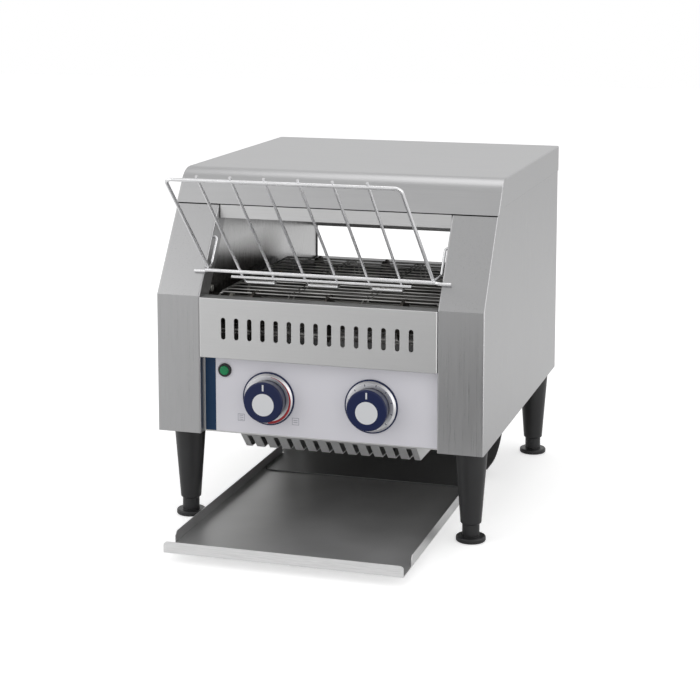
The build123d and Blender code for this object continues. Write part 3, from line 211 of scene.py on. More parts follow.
# %% [markdown]
# ## The texture of moulded and coated surfaces
# Moulded plastic, sprayed coating and plated wire share another fault: a fine orange peel
# and a slow unevenness of tone. Two round noises, one small and one large, are enough,
# and the sizes of both are inputs, so one group serves them all.

# %% Fine texture group
DEFAULT_GRAIN = 900.0
DEFAULT_CLOUD = 14.0


def make_speckle():
    group, given, result = new_group(
        "fine texture",
        [
            ("Place", "NodeSocketVector", (0.0, 0.0, 0.0)),
            ("Grain scale", "NodeSocketFloat", DEFAULT_GRAIN),
            ("Cloud scale", "NodeSocketFloat", DEFAULT_CLOUD),
        ],
        ["Specks", "Cloud"],
    )
    fine = add_node(group, "ShaderNodeTexNoise", "grain", Detail=2.0, Roughness=0.5)
    join(group, given.outputs["Place"], fine.inputs["Vector"])
    join(group, given.outputs["Grain scale"], fine.inputs["Scale"])
    slow = add_node(group, "ShaderNodeTexNoise", "slow unevenness", Detail=2.0, Roughness=0.5)
    join(group, given.outputs["Place"], slow.inputs["Vector"])
    join(group, given.outputs["Cloud scale"], slow.inputs["Scale"])
    join(group, fine.outputs["Fac"], result.inputs["Specks"])
    even_out(group, slow, result.inputs["Cloud"])
    return group


speckle = make_speckle()
print("group:", speckle.name)

# %% [markdown]
# A group is built once and placed in each material as one node, with that material's own
# numbers in its sockets. When a group is changed later, every material changes with it.

# %% Place a group in a material
def place_brushing(tree, place, grain, cloud):
    """The brushed grain group in a material, with the stretch of its scratches."""
    made = add_node(tree, "ShaderNodeGroup", "brushing")
    made.node_tree = brushing
    made.inputs["Grain scale"].default_value = grain
    made.inputs["Cloud scale"].default_value = cloud
    join(tree, place, made.inputs["Place"])
    return made


def place_speckle(tree, place, label, grain=DEFAULT_GRAIN, cloud=DEFAULT_CLOUD):
    """The fine texture group in a material: larger numbers give a finer grain."""
    made = add_node(tree, "ShaderNodeGroup", label)
    made.node_tree = speckle
    made.inputs["Grain scale"].default_value = grain
    made.inputs["Cloud scale"].default_value = cloud
    join(tree, place, made.inputs["Place"])
    return made


print("helpers ready: place_brushing, place_speckle")

# %% [markdown]
# ## How each material starts and ends
# Each material starts with one Principled shader, whose plain values are set on its own
# sockets, and ends with a bump. Real edges are folded or broken with a file, never
# knife-sharp. They could be bevelled in the mesh, but a Bevel node rounds only the
# shading, by a fraction of a millimetre, and still catches a thin highlight.

# %% Start and relief
EDGE_ROUND = 0.5 * MM
FINE_EDGE = 0.2 * MM
RELIEF_DEPTH = 0.05 * MM
BEVEL_SAMPLES = 4


def start_material(name, base, metallic, roughness, coat=0.0, ior=1.5):
    made = bpy.data.materials.new(name)
    made.use_nodes = True
    tree = made.node_tree
    shader = tree.nodes["Principled BSDF"]
    shader.inputs["Base Color"].default_value = (*base, 1.0)
    shader.inputs["Metallic"].default_value = metallic
    shader.inputs["Roughness"].default_value = roughness
    shader.inputs["Coat Weight"].default_value = coat
    shader.inputs["IOR"].default_value = ior
    made.diffuse_color = (*base, 1.0)
    return made, tree, shader


def add_relief(tree, shader, height, strength, edge=EDGE_ROUND):
    """Height to a Bump node over softened edges, into the shader's Normal."""
    bump = add_node(
        tree, "ShaderNodeBump", "surface relief", Strength=strength, Distance=RELIEF_DEPTH
    )
    join(tree, height, bump.inputs["Height"])
    if edge:
        soft = add_node(tree, "ShaderNodeBevel", "broken edges", Radius=edge)
        soft.samples = BEVEL_SAMPLES
        join(tree, soft.outputs[0], bump.inputs["Normal"])
    join(tree, bump.outputs[0], shader.inputs["Normal"])


print("edges rounded by", EDGE_ROUND / MM, "mm in the shading")

# %% [markdown]
# ## Painted shade under the cover
# Where two sheets meet, light gets lost in the gap and the eye reads a dark shadow line. The
# top cover's edge stands a hair above the housings, far too narrow a gap for the lamps to
# show. It could be widened, but that would change the part; so the shadow line is painted
# into the colour as a mask by height, along the front and more faintly along the sides.
# Housings and hood both show it, which makes it a group.

# %% Painted shade group
# painted shadow line under the cover's edge: where it lies, and how strong it is on the sides
COVER_SIDE = 182.5 * MM
FRONT_SHADE_BAND = (349.3 * MM, 350.9 * MM)
SIDE_SHADE_BAND = (355.5 * MM, 356.6 * MM)
FRONT_ENDS = -80.0 * MM
SIDES_START = -70.0 * MM
SIDE_SHARE = 0.5


def make_painted_cover_shade():
    group, given, result = new_group(
        "joint under the cover", [("Place", "NodeSocketVector", (0.0, 0.0, 0.0))], ["Joint"]
    )
    parts = add_node(group, "ShaderNodeSeparateXYZ", "X Y Z")
    join(group, given.outputs["Place"], parts.inputs[0])
    x, y, z = parts.outputs["X"], parts.outputs["Y"], parts.outputs["Z"]
    across = distance_from(group, x, 0.0, "from the middle")
    in_front = combine(group, "LESS_THAN", across, COVER_SIDE, "not on the sides")
    near_front = combine(group, "LESS_THAN", y, FRONT_ENDS, "front of the casing")
    front_band = within(group, z, *FRONT_SHADE_BAND, "front joint")
    front_line = product(group, "front line", front_band, in_front, near_front)
    on_side = combine(group, "GREATER_THAN", across, COVER_SIDE, "on the sides")
    behind = combine(group, "GREATER_THAN", y, SIDES_START, "behind the bend")
    side_band = within(group, z, *SIDE_SHADE_BAND, "side joint")
    side_line = product(group, "side line", side_band, on_side, behind, SIDE_SHARE)
    either = combine(group, "MAXIMUM", front_line, side_line, "both lines")
    join(group, either, result.inputs["Joint"])
    return group


painted_cover_shade = make_painted_cover_shade()
print("group:", painted_cover_shade.name)

# %% [markdown]
# Two more painted darkenings belong to one finish each. The hood's ends get the same painted
# shadow line where they meet the housings, and between the heaters the inner walls get a dark
# brown painted shade, standing in for shade and the dark belt's reflection, up to the height
# of the belt, fading out towards the open back.

# %% Painted shade at the hood's ends and low on the walls
# painted shade: the dark tone of the shadow lines under the cover and at the hood's ends
PAINTED_SHADE_TONE = (0.03, 0.03, 0.03)
# painted shade low on the walls: its dark brown tone, and where it fades towards the back
LOW_SHADE_TONE = (0.10, 0.095, 0.09)
LOW_SHADE_FADES = (60.0 * MM, 130.0 * MM)


def add_painted_cover_shade(tree, colour, place):
    """Darken a colour with the painted shadow line under the cover."""
    made = add_node(tree, "ShaderNodeGroup", "joint")
    made.node_tree = painted_cover_shade
    join(tree, place, made.inputs["Place"])
    return blend_colours(tree, made.outputs["Joint"], colour, PAINTED_SHADE_TONE, "under the cover")


def add_painted_end_shade(tree, colour, x, distance):
    """Paint a shadow line: darken a colour beyond a distance from the middle."""
    across = distance_from(tree, x, 0.0, "from the middle")
    at_end = combine(tree, "GREATER_THAN", across, distance, "at the ends")
    return blend_colours(tree, at_end, colour, PAINTED_SHADE_TONE, "joint")


def add_painted_low_shade(tree, colour, y, z, black_below, unshaded_above):
    """Paint shade low down between the heaters by darkening a colour there."""
    low = span(tree, z, black_below, unshaded_above, 1.0, 0.0, "painted shade low down")
    hot = span(tree, y, *LOW_SHADE_FADES, 1.0, 0.0, "between the heaters")
    return blend_colours(tree, product(tree, "low_shade", low, hot), colour, LOW_SHADE_TONE, "low_shade")


print("soot fades from", LOW_SHADE_FADES[0] / MM, "to", LOW_SHADE_FADES[1] / MM, "mm back")

# %% [markdown]
# ## Metals
# A metal in a path tracer is little more than its colour, how rough it is, and which way
# the scratches run. The scratches make it a little darker, lighter and rougher in lines,
# and the cloudiness shifts the tone slowly. Anisotropy would stretch the highlights too,
# but the lines alone read as brushed and stay free of noise.

# %% Metal builder
SHEET_CLOUD = 6.0
CLOUD_DARKENS = 0.96
CLOUD_SHARE = 0.35
SMOOTHEST = -0.05
ROUGHEST = 0.07


def brushed_metal(
    name, colour, roughness, grain,
    contrast=0.10, relief=0.06, edge=EDGE_ROUND, low_shade=None, shade_under_cover=False, end_shade_from=None,
):
    """Brushed sheet: grain is the stretch of the scratches along X, Y and Z.

    The painted shade low on the walls is given as the height up to which it is black and the
    height where it ends. The painted shadow line under the cover is switched on or off, and
    the painted shadow line at the ends, where they meet the housings, starts at the distance
    from the middle given.
    """
    made, tree, shader = start_material(name, colour, metallic=1.0, roughness=roughness)
    x, y, z, place = place_of(tree)
    lines = place_brushing(tree, place, grain, SHEET_CLOUD)
    darker = scaled(colour, 1 - contrast)
    lighter = scaled(colour, 1 + contrast * 0.5)
    tone = blend_colours(tree, lines.outputs["Lines"], darker, lighter, "scratches")
    dulled = scaled(colour, CLOUD_DARKENS)
    cast = blend_colours(tree, lines.outputs["Cloud"], dulled, colour, "cloudy")
    final = blend_colours(tree, CLOUD_SHARE, tone, cast, "scratches and cloud")
    # painted shade low on the walls, standing in for shade and the belt's reflection
    if low_shade:
        final = add_painted_low_shade(tree, final, y, z, *low_shade)
    # painted shadow line under the cover's edge
    if shade_under_cover:
        final = add_painted_cover_shade(tree, final, place)
    # painted shadow line where the hood's ends meet the housings
    if end_shade_from:
        final = add_painted_end_shade(tree, final, x, end_shade_from)
    join(tree, final, shader.inputs["Base Color"])
    low, high = roughness + SMOOTHEST, roughness + ROUGHEST
    rough = span(tree, lines.outputs["Lines"], 0.0, 1.0, low, high, "rougher lines")
    join(tree, rough, shader.inputs["Roughness"])
    add_relief(tree, shader, lines.outputs["Height"], relief, edge)
    return made


print("metal builder ready")

# %% [markdown]
# ### Outer sheets
# The casing is brushed stainless steel. The cover is brushed across its width and the
# housings upright, as the sheets were cut, and that turn of the grain is what tells the
# two apart where they meet. The vent panel is a finer, paler satin, and the slotted box
# under the controls is plain pressed sheet that was never brushed.

# %% Casing finishes
GRAIN_ALONG_X = (18.0, 1800.0, 1800.0)
GRAIN_ALONG_Z = (1800.0, 1800.0, 18.0)

cover_steel = brushed_metal(
    "brushed steel across", (0.51, 0.51, 0.515), 0.35, GRAIN_ALONG_X,
    contrast=0.06, relief=0.035,
)
housing_steel = brushed_metal(
    "brushed steel upright", (0.49, 0.49, 0.495), 0.31, GRAIN_ALONG_Z,
    contrast=0.07, relief=0.045, shade_under_cover=True,
)
vent_steel = brushed_metal(
    "satin steel panel", (0.67, 0.67, 0.67), 0.42, GRAIN_ALONG_X,
    contrast=0.05, relief=0.03,
)
guard_steel = brushed_metal(
    "dull pressed steel", (0.80, 0.80, 0.80), 0.55, GRAIN_ALONG_X, contrast=0.06
)
print("casing finishes:", cover_steel.name, housing_steel.name, vent_steel.name)

# %% [markdown]
# ### Sheets of the hot chamber
# Inside, the walls are glossy above and painted dark near the belt, standing in for shade and
# the dark belt's reflection; the hood's front strip stays bright; and the reflector under the
# lower heaters is coloured dark as painted shade, which is why the belt's wires stand out
# above it.

# %% Chamber finishes
# heights of the painted shade low on the walls: black below, gone above
WALL_LOW_SHADE = (270.0 * MM, 303.0 * MM)
# where the painted shadow line at the hood's ends begins
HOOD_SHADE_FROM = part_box("heater_hood")[1][0] - 0.9 * MM

chamber_steel = brushed_metal(
    "chamber steel", (0.58, 0.58, 0.58), 0.24, GRAIN_ALONG_Z,
    contrast=0.16, low_shade=WALL_LOW_SHADE,
)
hood_steel = brushed_metal(
    "hood steel", (0.68, 0.68, 0.68), 0.33, GRAIN_ALONG_X,
    shade_under_cover=True, end_shade_from=HOOD_SHADE_FROM,
)
# painted shade: the reflector under the belt is coloured dark to stand in for the shade there
reflector_steel = brushed_metal(
    "reflector, dark as painted shade", (0.16, 0.15, 0.14), 0.40, GRAIN_ALONG_X, contrast=0.15
)
print("chamber finishes:", chamber_steel.name, hood_steel.name, reflector_steel.name)

# %% [markdown]
# ### Turned, plated and sintered pieces
# Shafts and sprockets come off a lathe, so their scratches run round them. Brackets and
# screws are zinc-plated, with no grain at all: the same noise with equal stretch in all
# directions gives their blotches. The belt's wheels are browned by heat, and the bushes
# are porous bronze that holds its own oil.

# %% Finishes of the works
NO_GRAIN = (300.0, 300.0, 300.0)
BRONZE_GRAIN = (400.0, 400.0, 400.0)
TURNED_GRAIN = (2500.0, 60.0, 60.0)

plated_steel = brushed_metal(
    "zinc-plated steel", (0.56, 0.56, 0.53), 0.42, NO_GRAIN, contrast=0.2
)
browned_steel = brushed_metal(
    "heat-browned steel", (0.11, 0.10, 0.09), 0.48, NO_GRAIN, contrast=0.3
)
turned_steel = brushed_metal(
    "turned steel", (0.55, 0.55, 0.56), 0.24, TURNED_GRAIN, edge=FINE_EDGE
)
bronze = brushed_metal("sintered bronze", (0.52, 0.36, 0.19), 0.40, BRONZE_GRAIN)
print("works:", plated_steel.name, browned_steel.name, turned_steel.name, bronze.name)

# %% [markdown]
# ### Wire
# The rack is bright nickel-plated wire, smooth enough to mirror the room. The belt was
# bright too, but the heaters have browned it unevenly from wire to wire. Both are one
# recipe with other tones: the slow noise picks the tone and, with it, how rough the
# surface is. Wire has no edges to soften, so it goes without the Bevel node.

# %% Wire finishes
def make_wire(name, base, roughness, texture_label, grain, cloud, tones, sheen, relief):
    """Wire: tones and sheen are each given for the dull and the bright spots."""
    made, tree, shader = start_material(name, base, metallic=1.0, roughness=roughness)
    place = place_of(tree)[3]
    texture = place_speckle(tree, place, texture_label, grain, cloud)
    tone = blend_colours(tree, texture.outputs["Cloud"], *tones, "uneven tone")
    join(tree, tone, shader.inputs["Base Color"])
    rough = span(tree, texture.outputs["Cloud"], 0.0, 1.0, *sheen, "duller spots")
    join(tree, rough, shader.inputs["Roughness"])
    add_relief(tree, shader, texture.outputs["Specks"], relief, edge=0)
    return made


rack_wire = make_wire(
    "bright plated wire", (0.90, 0.90, 0.91), 0.24, "plating", grain=700.0, cloud=40.0,
    tones=((0.80, 0.80, 0.81), (0.93, 0.93, 0.94)), sheen=(0.32, 0.20), relief=0.05,
)
belt_wire = make_wire(
    "heat-darkened wire", (0.10, 0.095, 0.09), 0.32, "scorching", grain=800.0, cloud=22.0,
    tones=((0.26, 0.255, 0.25), (0.72, 0.71, 0.69)), sheen=(0.42, 0.26), relief=0.12,
)
print("wire finishes:", rack_wire.name, belt_wire.name)

# %% [markdown]
# ### The coated chute
# The chute carries a dark non-stick coating, thin enough that the metal below still gives
# it a soft metallic sheen. That is why Metallic stands between 0 and 1 here: a plain dark
# plastic would look flat, and a dark metal too much like a mirror.

# %% Non-stick coating
COATING_DARK = (0.17, 0.17, 0.172)
COATING_LIGHT = (0.22, 0.22, 0.222)
COATING_METALLIC = 0.62
COATING_ROUGHNESS = 0.32
COATING_SHEEN = (0.30, 0.38)


def make_coating():
    made, tree, shader = start_material(
        "non-stick coating", COATING_LIGHT, COATING_METALLIC, COATING_ROUGHNESS
    )
    place = place_of(tree)[3]
    texture = place_speckle(tree, place, "sprayed grain", grain=1100.0, cloud=10.0)
    cloud = texture.outputs["Cloud"]
    tone = blend_colours(tree, cloud, COATING_DARK, COATING_LIGHT, "thin and thick coat")
    join(tree, tone, shader.inputs["Base Color"])
    rough = span(tree, cloud, 0.0, 1.0, *COATING_SHEEN, "sheen")
    join(tree, rough, shader.inputs["Roughness"])
    add_relief(tree, shader, texture.outputs["Specks"], strength=0.10)
    return made


coating = make_coating()
print("coated:", coating.name)

# %% [markdown]
# ### The tray
# The tray is coated inside and left bright outside. It is one sheet, so it could only be
# split into two materials by giving faces their own slots. Instead, one material looks at
# where each point is: past the outer sides, under the bottom or on the front of the lip
# it is bare steel, and everywhere else it is a coating worn pale by the toast.

# %% Outside of the tray
SKIN = 0.5 * MM


def bare_outside(tree, x, y, z):
    """1 on the tray's outer sides, its underside and the front of its lip."""
    low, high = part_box("toast_tray")
    across = distance_from(tree, x, 0.0, "from the middle")
    aside = combine(tree, "GREATER_THAN", across, high[0] - SKIN, "outer sides")
    under = combine(tree, "LESS_THAN", z, low[2] + SKIN, "underside")
    front = combine(tree, "LESS_THAN", y, low[1] + SKIN, "front of the lip")
    either = combine(tree, "MAXIMUM", under, front, "either")
    return combine(tree, "MAXIMUM", aside, either, "bare outside")


print("bare steel within", SKIN / MM, "mm of the outside")

# %% [markdown]
# That mask chooses between two sets of values. Colour and Metallic are mixed by it as
# they stand. Roughness differs from place to place on both, so the mask lets in the
# difference between the two only where the steel is bare.

# %% Tray finish
WORN_DARK = (0.38, 0.38, 0.382)
WORN_LIGHT = (0.47, 0.47, 0.472)
BARE_DARK = (0.78, 0.78, 0.78)
BARE_LIGHT = (0.92, 0.92, 0.92)
BARE_SHEEN = (0.30, 0.42)
TRAY_GRAIN = (60.0, 60.0, 1500.0)


def make_tray_finish():
    made, tree, shader = start_material(
        "tray, coated inside", COATING_LIGHT, COATING_METALLIC, COATING_ROUGHNESS
    )
    x, y, z, place = place_of(tree)
    texture = place_brushing(tree, place, TRAY_GRAIN, cloud=12.0)
    lines, cloud = texture.outputs["Lines"], texture.outputs["Cloud"]
    outside = bare_outside(tree, x, y, z)
    coated = blend_colours(tree, cloud, WORN_DARK, WORN_LIGHT, "coating")
    bare = blend_colours(tree, lines, BARE_DARK, BARE_LIGHT, "bare steel")
    tone = blend_colours(tree, outside, coated, bare, "coating or steel")
    join(tree, tone, shader.inputs["Base Color"])
    metallic = span(tree, outside, 0.0, 1.0, COATING_METALLIC, 1.0, "coating or steel")
    join(tree, metallic, shader.inputs["Metallic"])
    coat_rough = span(tree, cloud, 0.0, 1.0, *COATING_SHEEN, "coating sheen")
    steel_rough = span(tree, lines, 0.0, 1.0, *BARE_SHEEN, "steel sheen")
    difference = combine(tree, "SUBTRACT", steel_rough, coat_rough, "difference")
    extra = combine(tree, "MULTIPLY", difference, outside, "only outside")
    rough = combine(tree, "ADD", coat_rough, extra, "roughness")
    join(tree, rough, shader.inputs["Roughness"])
    add_relief(tree, shader, texture.outputs["Height"], strength=0.05)
    return made


tray_finish = make_tray_finish()
print("tray:", tray_finish.name)

# %% [markdown]
# ### Plastics, ceramic and glass
# Moulded plastic has a faint grain and a soft sheen. One builder makes all of these; only
# the colour, the sheen and the size of the grain change. The lens and the heater tubes
# could be real glass with transmission, but behind both there is only darkness, so a
# smooth tinted surface looks the same and renders cleaner.

# %% Moulded finishes
PLASTIC_IOR = 1.48
MOULDED_SHEEN = (-0.04, 0.05)


def moulded(
    name, colour, roughness,
    grain=1200.0, relief=0.08, cloud=20.0, spread=0.15, edge=EDGE_ROUND,
):
    """A moulded surface: spread is how far its tone wanders."""
    made, tree, shader = start_material(
        name, colour, metallic=0.0, roughness=roughness, ior=PLASTIC_IOR
    )
    place = place_of(tree)[3]
    texture = place_speckle(tree, place, "moulding grain", grain, cloud)
    slow = texture.outputs["Cloud"]
    darker, lighter = scaled(colour, 1 - spread), scaled(colour, 1 + spread)
    tone = blend_colours(tree, slow, darker, lighter, "tone")
    join(tree, tone, shader.inputs["Base Color"])
    low, high = (roughness + change for change in MOULDED_SHEEN)
    rough = span(tree, slow, 0.0, 1.0, low, high, "sheen")
    join(tree, rough, shader.inputs["Roughness"])
    add_relief(tree, shader, texture.outputs["Specks"], relief, edge)
    return made


leg_plastic = moulded("black leg plastic", (0.020, 0.020, 0.021), 0.34)
black_plastic = moulded("black plastic", (0.016, 0.016, 0.017), 0.42)
phenolic = moulded("brown switch moulding", (0.045, 0.03, 0.022), 0.45)
board_green = moulded("circuit board", (0.02, 0.09, 0.04), 0.40)
ceramic = moulded(
    "heater ceramic", (0.72, 0.70, 0.64), 0.55, grain=1600.0, spread=0.06
)
lens_green = moulded(
    "green lens", (0.004, 0.25, 0.085), 0.12, relief=0.02, spread=0.3, edge=FINE_EDGE
)
quartz = moulded("quartz tube", (0.24, 0.235, 0.22), 0.18, relief=0.02, spread=0.05)
print("moulded finishes:", leg_plastic.name, black_plastic.name, lens_green.name)

# %% [markdown]
# ### Printed panel film
# The control film is a pale, faintly violet silver, printed with a blue band down the
# left edge and two small plain marks beside the heat knob. A picture could carry the
# print, but it would blur close up; masks stay sharp. A rectangle is where the distance
# from its centre is less than half its size on both axes, and an outline is a rectangle
# less a smaller one.

# %% Marks on the film
MARK_Z = 123.5 * MM
MARK_HALF = 4.0 * MM
MARK_LINE = 0.6 * MM
BAR_HALF = (2.4 * MM, 0.4 * MM)
BAR_PITCH = 2.2 * MM
MARKS = ((-90.0 * MM, 3), (-27.5 * MM, 2))


def rectangle(tree, x, z, centre, half):
    """1 inside a rectangle on the panel."""
    away_x = distance_from(tree, x, centre[0], "across")
    away_z = distance_from(tree, z, centre[1], "up")
    in_width = combine(tree, "LESS_THAN", away_x, half[0], "within width")
    in_height = combine(tree, "LESS_THAN", away_z, half[1], "within height")
    return combine(tree, "MULTIPLY", in_width, in_height, "rectangle")


def film_mark(tree, x, z, centre_x, bars):
    """A square outline with short bars in it, one above the other."""
    centre = (centre_x, MARK_Z)
    outer = rectangle(tree, x, z, centre, (MARK_HALF, MARK_HALF))
    core_half = MARK_HALF - MARK_LINE
    core = rectangle(tree, x, z, centre, (core_half, core_half))
    mask = combine(tree, "SUBTRACT", outer, core, "outline")
    for i in range(bars):
        level = MARK_Z + (i - (bars - 1) / 2) * BAR_PITCH
        bar = rectangle(tree, x, z, (centre_x, level), BAR_HALF)
        mask = combine(tree, "MAXIMUM", mask, bar, "outline and bars")
    return mask


print(len(MARKS), "marks,", 2 * MARK_HALF / MM, "mm square")

# %% [markdown]
# The film itself has a very fine grain and little gloss. Its ink sits below the surface,
# so the band and the marks share the film's sheen and change only the colour.

# %% Panel film
FILM_COLOUR = (0.82, 0.81, 0.86)
FILM_SHADE = (0.79, 0.78, 0.83)
BAND_COLOUR = (0.004, 0.034, 0.095)
BAND_EDGE = -119.3 * MM
MARK_COLOUR = (0.42, 0.42, 0.47)


def make_film():
    made, tree, shader = start_material(
        "printed film", FILM_COLOUR, metallic=0.0, roughness=0.38, ior=1.36
    )
    x, _, z, place = place_of(tree)
    texture = place_speckle(tree, place, "film grain", grain=1500.0, cloud=6.0)
    paper = blend_colours(
        tree, texture.outputs["Cloud"], FILM_SHADE, FILM_COLOUR, "silver ink"
    )
    band = combine(tree, "LESS_THAN", x, BAND_EDGE, "left band")
    printed = blend_colours(tree, band, paper, BAND_COLOUR, "blue band")
    for centre_x, bars in MARKS:
        mark = film_mark(tree, x, z, centre_x, bars)
        printed = blend_colours(tree, mark, printed, MARK_COLOUR, "printed mark")
    join(tree, printed, shader.inputs["Base Color"])
    add_relief(tree, shader, texture.outputs["Specks"], strength=0.04)
    return made


film_finish = make_film()
print("film printed with a band up to", round(BAND_EDGE / MM, 1), "mm")

# %% [markdown]
# ### Knobs
# The knobs are dark blue with a plain pale disc on the face and a white pointer above it.
# The print could be a picture, but then the knob would need unwrapping; here it is drawn
# by how far a point is from the knob's centre. These helpers measure that: first along
# the three axes, then straight across the face, by the rule of Pythagoras.

# %% Measure from a centre
ROUND_INPUTS = [
    ("Place", "NodeSocketVector", (0.0, 0.0, 0.0)),
    ("Centre", "NodeSocketVector", (0.0, 0.0, 0.0)),
]


def from_centre(group, given):
    """How far a point is to the right of, behind and above the centre."""
    away = group.nodes.new("ShaderNodeVectorMath")
    away.operation = "SUBTRACT"
    join(group, given.outputs["Place"], away.inputs[0])
    join(group, given.outputs["Centre"], away.inputs[1])
    parts = add_node(group, "ShaderNodeSeparateXYZ", "right, behind, above")
    join(group, away.outputs[0], parts.inputs[0])
    return parts.outputs["X"], parts.outputs["Y"], parts.outputs["Z"]


def distance_of(group, right, above):
    """The distance from the centre, as seen from the front."""
    right_square = combine(group, "POWER", right, 2.0, "right, squared")
    above_square = combine(group, "POWER", above, 2.0, "above, squared")
    square = combine(group, "ADD", right_square, above_square, "distance, squared")
    return combine(group, "SQRT", square, 0.0, "distance")


print("helpers ready: from_centre, distance_of")

# %% [markdown]
# Both knobs carry the same print, so it is a group. It is told the centre of the knob's
# face, and it inks only what lies within a millimetre of the face, so the side of the
# knob stays blue.

# %% Knob print group
DISC_RADIUS = 12.3 * MM
DISC_DROP = 2.6 * MM
POINTER_HALF = 0.95 * MM
POINTER_REACH = (12.6 * MM, 19.6 * MM)
FACE_DEPTH = 1.0 * MM


def make_knob_print():
    group, given, result = new_group("knob print", ROUND_INPUTS, ["Ink"])
    right, behind, above = from_centre(group, given)
    lowered = combine(group, "ADD", above, DISC_DROP, "disc sits a little low")
    from_disc = distance_of(group, right, lowered)
    disc = combine(group, "LESS_THAN", from_disc, DISC_RADIUS, "pale disc")
    slim = within(group, right, -POINTER_HALF, POINTER_HALF, "pointer width")
    tall = within(group, above, *POINTER_REACH, "pointer length")
    pointer = combine(group, "MULTIPLY", slim, tall, "pointer")
    ink = combine(group, "MAXIMUM", disc, pointer, "ink")
    front = combine(group, "LESS_THAN", behind, FACE_DEPTH, "on the face")
    on_face = combine(group, "MULTIPLY", ink, front, "ink on the face")
    join(group, on_face, result.inputs["Ink"])
    return group


knob_print = make_knob_print()
print("group:", knob_print.name)

# %% [markdown]
# The blue is one moulded colour with hardly any unevenness, under a weak clear coat. The
# ink lies over it and shares its sheen.

# %% Knob finishes
KNOB_X = 58.0 * MM
KNOB_Z = 147.0 * MM
KNOB_BLUE = (0.006, 0.014, 0.072)
WHITE_INK = (0.75, 0.76, 0.78)
BLUE_SHADE = 0.85


def place_round(tree, place, group, label, centre):
    """A group that measures round a centre, placed in a material."""
    made = add_node(tree, "ShaderNodeGroup", label)
    made.node_tree = group
    made.inputs["Centre"].default_value = centre
    join(tree, place, made.inputs["Place"])
    return made


def make_knob_finish(name, centre_x, node):
    made, tree, shader = start_material(
        name, KNOB_BLUE, metallic=0.0, roughness=0.28, coat=0.08, ior=1.40
    )
    place = place_of(tree)[3]
    texture = place_speckle(tree, place, "moulding grain")
    shade = scaled(KNOB_BLUE, BLUE_SHADE)
    base = blend_colours(tree, texture.outputs["Cloud"], shade, KNOB_BLUE, "blue")
    face = (centre_x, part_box(node)[0][1], KNOB_Z)
    ink = place_round(tree, place, knob_print, "disc and pointer", face)
    printed = blend_colours(tree, ink.outputs["Ink"], base, WHITE_INK, "white print")
    join(tree, printed, shader.inputs["Base Color"])
    add_relief(tree, shader, texture.outputs["Specks"], strength=0.05)
    return made


heat_knob_finish = make_knob_finish("heat knob, blue", -KNOB_X, "heat_knob")
speed_knob_finish = make_knob_finish("speed knob, blue", KNOB_X, "speed_knob")
print("knobs:", heat_knob_finish.name, "and", speed_knob_finish.name)

# %% [markdown]
# ### Scale rings
# The ring round each knob is satin metal with a blue rim. The heat ring carries a red
# wedge that widens clockwise as the heat rises; the speed ring carries twelve ticks. For
# these the angle matters too, so a second group measures round the centre: it puts out
# the distance and the clockwise angle from the top, in radians, and each ring draws its
# own scale from them.

# %% Measuring group
def make_dial():
    group, given, result = new_group("round the dial", ROUND_INPUTS, ["Distance", "Angle"])
    right, _, above = from_centre(group, given)
    join(group, distance_of(group, right, above), result.inputs["Distance"])
    angle = combine(group, "ARCTAN2", right, above, "clockwise from the top")
    join(group, angle, result.inputs["Angle"])
    return group


dial = make_dial()
print("group:", dial.name)

# %% [markdown]
# The wedge's outer edge moves out as the angle grows. The ticks come from the fraction
# that is left when the turn is cut into twelfths: wherever that fraction is near a half,
# and the distance is right, there is ink.

# %% Two scales
WEDGE_START = 0.15
WEDGE_FULL = 2.9
WEDGE_INNER = 24.6 * MM
WEDGE_WIDTH = (0.4 * MM, 3.0 * MM)
TICKS = 12
TICK_SHARE = (0.46, 0.54)
TICK_REACH = (23.2 * MM, 25.4 * MM)


def heat_wedge(tree, distance, angle):
    """1 on the red wedge, which widens clockwise."""
    turned = within(tree, angle, WEDGE_START, math.pi, "right-hand half")
    reach = span(tree, angle, WEDGE_START, WEDGE_FULL, *WEDGE_WIDTH, "widening")
    outer = combine(tree, "ADD", WEDGE_INNER, reach, "outer edge")
    starts = combine(tree, "GREATER_THAN", distance, WEDGE_INNER, "past the inner edge")
    ends = combine(tree, "LESS_THAN", distance, outer, "inside the outer edge")
    return product(tree, "red wedge", starts, ends, turned)


def speed_ticks(tree, distance, angle):
    """1 on twelve short ticks round the ring."""
    turns = combine(tree, "MULTIPLY", angle, TICKS / (2 * math.pi), "twelfths")
    left_over = combine(tree, "FRACT", turns, 0.0, "within one twelfth")
    slim = within(tree, left_over, *TICK_SHARE, "tick width")
    long = within(tree, distance, *TICK_REACH, "tick length")
    return combine(tree, "MULTIPLY", slim, long, "scale ticks")


print("scales: a wedge from", round(math.degrees(WEDGE_START)), "degrees and", TICKS, "ticks")

# %% [markdown]
# Paint isn't metal, so wherever a ring is painted, with its scale or on its rim, the same
# mask also takes Metallic down to 0.

# %% Ring finishes
RIM_START = 27.9 * MM
RING_COLOUR = (0.84, 0.84, 0.85)
RING_DARK = (0.80, 0.80, 0.81)
RING_LIGHT = (0.88, 0.88, 0.89)
RING_EDGE = 0.3 * MM
SCALE_RED = (0.45, 0.02, 0.03)
TICK_INK = (0.10, 0.11, 0.16)


